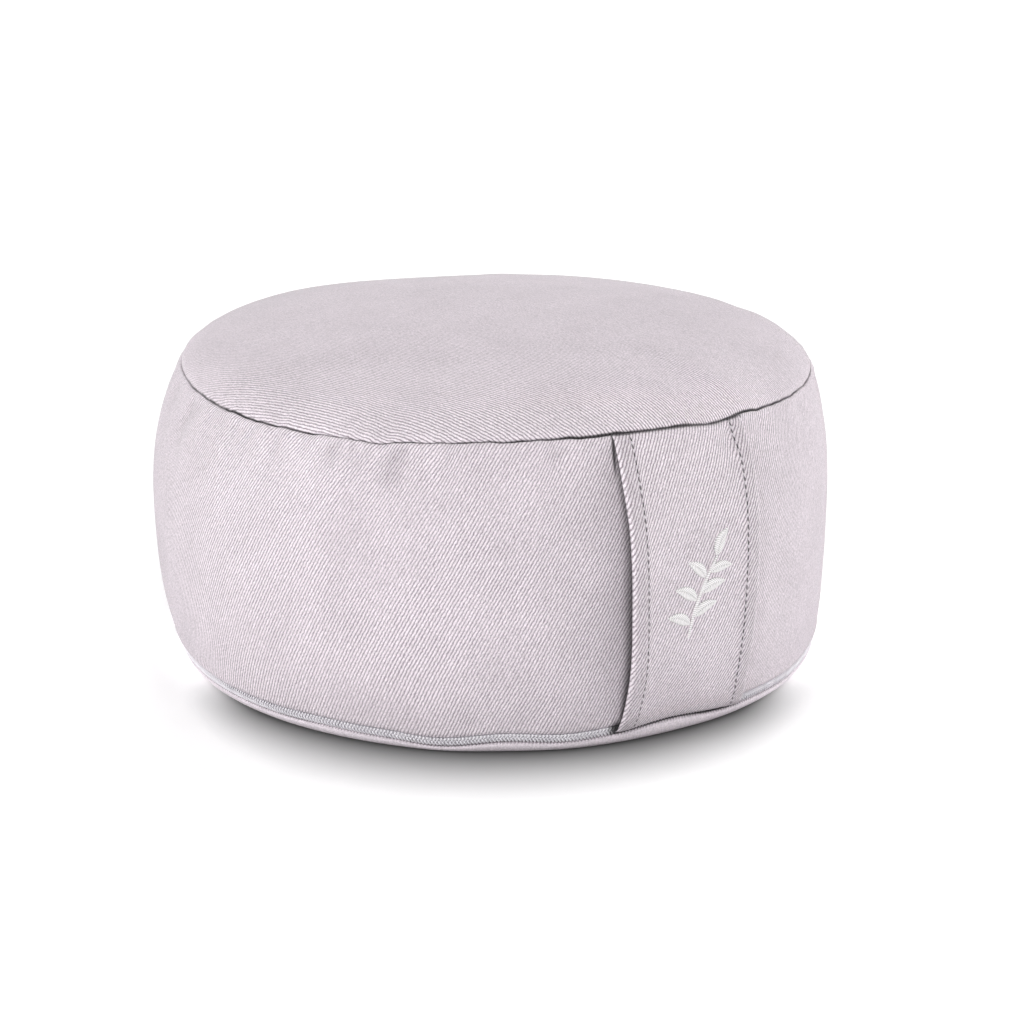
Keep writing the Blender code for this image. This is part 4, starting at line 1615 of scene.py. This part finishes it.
@dataclass
class ZipTape:
    """The woven tape: a strip that shows in the trough and goes on behind the fold of the side panel."""

    form: CushionForm
    band: BandOutline
    weave: WovenTape = field(default_factory=WovenTape)
    levels: tuple[float, float] = (0.0059, 0.0167)
    back: float = -0.0021
    face: float = -0.0011
    hidden_from: float = 0.0092
    hidden_depth: float = 0.0011
    steps: int = 720
    corner_points: int = 5
    face_points: int = 12

    def section(self) -> tuple[np.ndarray, np.ndarray]:
        """Flat oval section with round edges: level and distance out of each point, from the top down."""
        low, high = self.levels
        half = 0.5 * (self.face - self.back)
        middle = 0.5 * (self.face + self.back)
        turn = np.linspace(-math.pi / 2, math.pi / 2, self.corner_points)
        top_level = high - half + half * np.cos(turn)
        top_out = middle - half * np.sin(turn)
        low_level = low + half - half * np.cos(turn)
        low_out = middle + half * np.sin(turn)
        face_level = np.linspace(low + half, high - half, self.face_points + 2)[1:-1]
        level = np.concatenate([low_level, face_level, top_level])
        out = np.concatenate([low_out, np.full_like(face_level, self.face), top_out])
        return level[::-1], out[::-1]

    def build(self) -> bpy.types.Object:
        level, out = self.section()
        azimuth = np.linspace(-self.form.zip_reach, self.form.zip_reach, self.steps)[:, None]
        hidden_to = self.hidden_from + self.hidden_depth
        behind = self.hidden_depth * smooth_step(level, self.hidden_from, hidden_to)
        points = beside_zip(self.form, azimuth, level[None, :], (out - behind)[None, :])
        along = np.radians(azimuth) * self.form.side[0][1]
        wrapped = np.concatenate([level, level[:1]])[None, :]
        uv = together(along, wrapped)
        maker = MeshMaker("zip_tape_cloth")
        # Painted shadow where the band stands over the tape.
        painted_shadow = self.band.painted_shadow(self.form, azimuth, np.broadcast_to(level[None, :], points.shape[:2]))
        maker.add_tube(points, {"tape": strip_uv(uv)}, {"crease": painted_shadow})
        piece = maker.finish(self.weave.material())
        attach(piece, BODY)
        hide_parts("zip_tape")
        return piece


def beside_zip(form: CushionForm, azimuth: np.ndarray, level: np.ndarray, out: np.ndarray) -> np.ndarray:
    """Points at the foot of the side panel, moved out from the even side by out.

    Args:
        form: the cushion.
        azimuth: degrees.
        level: metres.
        out: metres outwards.

    Returns:
        The points, with x, y and z in the last axis.
    """
    return form.placed(azimuth, form.even_side(level) + out, level + form.rise(azimuth, level))


@dataclass
class ZipCoil:
    """The closed coil: two flat helices side by side whose turns lie between each other."""

    form: CushionForm
    band: BandOutline
    nylon: NylonCoil = field(default_factory=NylonCoil)
    middle_level: float = 0.0076
    row_offset: float = 0.00088
    half_height: float = 0.00086
    half_depth: float = 0.00040
    middle_out: float = -0.00042
    wire: float = 0.00034
    pitch: float = 0.00150
    points_a_turn: int = 12
    sides: int = 5
    slant: float = 0.30
    forward_lean: float = 0.25

    def helix(self, maker: MeshMaker, row: int) -> None:
        """Adds one row: a flattened helix whose front runs slant against those of the other row.

        Args:
            maker: the mesh to add to.
            row: -1 for the lower row and 1 for the upper one.
        """
        form = self.form
        foot_radius = form.side[0][1]
        length = 2 * math.radians(form.zip_reach) * foot_radius
        turns = length / self.pitch
        count = int(turns * self.points_a_turn)
        place = np.linspace(0.0, 1.0, count)
        turn = math.tau * turns * place + (math.pi if row > 0 else 0.0)
        lean = (self.forward_lean + row * self.slant) * self.pitch * np.cos(turn)
        azimuth = np.degrees((place - 0.5) * length / foot_radius + lean / foot_radius)
        level = self.middle_level + row * self.row_offset + self.half_height * np.cos(turn)
        out = self.middle_out + self.half_depth * np.sin(turn)
        spine = beside_zip(form, azimuth, level, out)
        tangent = unit(np.gradient(spine, axis=0))
        way = np.radians(azimuth)
        outward = unit(together(np.sin(way), -np.cos(way), 0 * azimuth))
        one = unit(np.cross(tangent, outward))
        two = np.cross(one, tangent)
        around = np.linspace(0.0, math.tau, self.sides + 1)
        sweep = around[None, :-1, None]
        rim = one[:, None] * np.cos(sweep) - two[:, None] * np.sin(sweep)
        points = spine[:, None] + self.wire * rim
        uv = together(run_along(spine)[:, None], self.wire * around[None, :])
        # Painted shadow where the band stands over the coil.
        painted_shadow = np.repeat(self.band.painted_shadow(form, azimuth, level)[:, None], self.sides, axis=1)
        maker.add_tube(points, {"wire": strip_uv(uv)}, {"crease": painted_shadow})

    def build(self) -> bpy.types.Object:
        """Makes both rows in one mesh, which stands for the coil's solid."""
        maker = MeshMaker("zip_coil_turns")
        for row in (-1, 1):
            self.helix(maker, row)
        piece = maker.finish(self.nylon.material())
        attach(piece, BODY)
        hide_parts("zip_coil")
        return piece


@dataclass(frozen=True)
class SoftBox:
    """One soft light: its azimuth, its height and its power."""

    name: str
    azimuth: float
    height: float
    power: float


@dataclass
class Studio:
    """White floor, pale dome, soft boxes and the camera."""

    floor_finish: StudioFloor = field(default_factory=StudioFloor)
    floor_reach: float = 30.0
    camera_place: tuple[float, float, float] = (-0.4972, -0.8177, 0.3700)
    camera_target: tuple[float, float, float] = (0.00557, -0.00338, 0.05701)
    focal_pixels: float = 2139.07
    sensor_width: float = 36.0
    clip_end: float = 200.0
    horizon_glow: float = 0.95
    dome_glow: float = 0.11
    horizon_band: tuple[float, float] = (0.02, 0.12)
    box_size: float = 1.2
    box_distance: float = 2.0
    boxes: tuple[SoftBox, ...] = (
        SoftBox("left_side_box", -111.3, 0.7, 6.4),
        SoftBox("left_front_box", -81.3, 0.7, 16.0),
        SoftBox("right_side_box", 48.7, 0.7, 6.8),
        SoftBox("right_back_box", 73.7, 0.7, 19.0),
        SoftBox("high_front_box", -31.3, 1.8, 23.6),
        SoftBox("high_back_box", 148.7, 1.6, 19.0),
    )
    overhead: SoftBox = SoftBox("overhead_box", 0.0, 2.3, 13.0)
    aim: tuple[float, float, float] = (0.0, 0.0, 0.06)

    def build_floor(self) -> None:
        """Makes the floor, which belongs to the stage."""
        mesh = bpy.data.meshes.new("studio_floor")
        reach = self.floor_reach
        corners = [(-reach, -reach, 0.0), (reach, -reach, 0.0), (reach, reach, 0.0), (-reach, reach, 0.0)]
        mesh.from_pydata(corners, [], [(0, 1, 2, 3)])
        mesh.materials.append(self.floor_finish.material())
        floor = new_object("studio_floor", mesh)

    def build_dome(self) -> None:
        """Lights the world with a faint dome that brightens smoothly to a pale band at the horizon."""
        world = bpy.data.worlds.new("studio_dome")
        world.use_nodes = True
        tree = world.node_tree
        background = tree.nodes["Background"]
        place = tree.nodes.new("ShaderNodeTexCoord")
        parts = tree.nodes.new("ShaderNodeSeparateXYZ")
        strength = tree.nodes.new("ShaderNodeMapRange")
        strength.interpolation_type = "SMOOTHSTEP"
        tree.links.new(place.outputs["Generated"], parts.inputs[0])
        tree.links.new(parts.outputs[2], strength.inputs[0])
        limits = (*self.horizon_band, self.horizon_glow, self.dome_glow)
        for socket, value in zip(strength.inputs[1:5], limits):
            socket.default_value = value
        tree.links.new(strength.outputs[0], background.inputs["Strength"])
        background.inputs["Color"].default_value = (1.0, 1.0, 1.0, 1.0)
        bpy.context.scene.world = world

    def build_box(self, box: SoftBox, distance: float) -> None:
        """Adds one square soft box that faces the cushion, at a distance from its axis."""
        light = bpy.data.lights.new(box.name, "AREA")
        light.shape = "SQUARE"
        light.size = self.box_size
        light.energy = box.power
        lamp = new_object(box.name, light)
        turn = math.radians(box.azimuth)
        place = Vector((distance * math.sin(turn), -distance * math.cos(turn), box.height))
        lamp.location = place
        lamp.rotation_euler = (Vector(self.aim) - place).to_track_quat("-Z", "Y").to_euler()

    def build_camera(self) -> None:
        """Adds the camera; its lens is the focal length in pixels times sensor over picture width."""
        data = bpy.data.cameras.new("photo_camera")
        data.sensor_width = self.sensor_width
        data.lens = self.focal_pixels * self.sensor_width / PICTURE_WIDTH
        data.clip_end = self.clip_end
        camera = new_object("photo_camera", data)
        camera.location = self.camera_place
        way = Vector(self.camera_target) - Vector(self.camera_place)
        camera.rotation_euler = way.to_track_quat("-Z", "Y").to_euler()
        bpy.context.scene.camera = camera

    def build(self) -> None:
        """Sets up the floor, the lights, the camera and plain colour handling."""
        self.build_camera()
        self.build_floor()
        self.build_dome()
        for box in self.boxes:
            self.build_box(box, self.box_distance)
        self.build_box(self.overhead, 0.0)
        bpy.context.scene.view_settings.view_transform = "Standard"
        bpy.context.scene.view_settings.look = "None"


def report(piece: bpy.types.Object) -> None:
    """Logs a piece's name and its number of triangles."""
    triangles = sum(len(face.vertices) - 2 for face in piece.data.polygons)
    log.info("%s: %d triangles", piece.name, triangles)


def main() -> None:
    """Builds the studio and each piece in turn."""
    logging.basicConfig(level=logging.INFO, format="%(name)s: %(message)s")
    form = CushionForm()
    outline = BandOutline()
    Studio().build()
    cover = CushionCover(form, outline, TwillCloth("cover_twill"))
    report(cover.build())
    band = CarryBand(form, outline, TwillCloth("band_twill"), SewingThread("band_thread"))
    band_cloth = band.build()
    report(band_cloth)
    stitches = band.build_stitches()
    report(stitches)
    satin = SewingThread(
        "satin_thread",
        colour=(0.92, 0.90, 0.905),
        groove_colour=(0.44, 0.42, 0.43),
        twist_pitch=0.00085,
        slant=0.7,
        roughness=0.42,
    )
    sprig = LeafSprig(band, satin).build()
    report(sprig)
    report(ZipTape(form, outline).build())
    report(ZipCoil(form, outline).build())


if __name__ == "__main__":
    main()
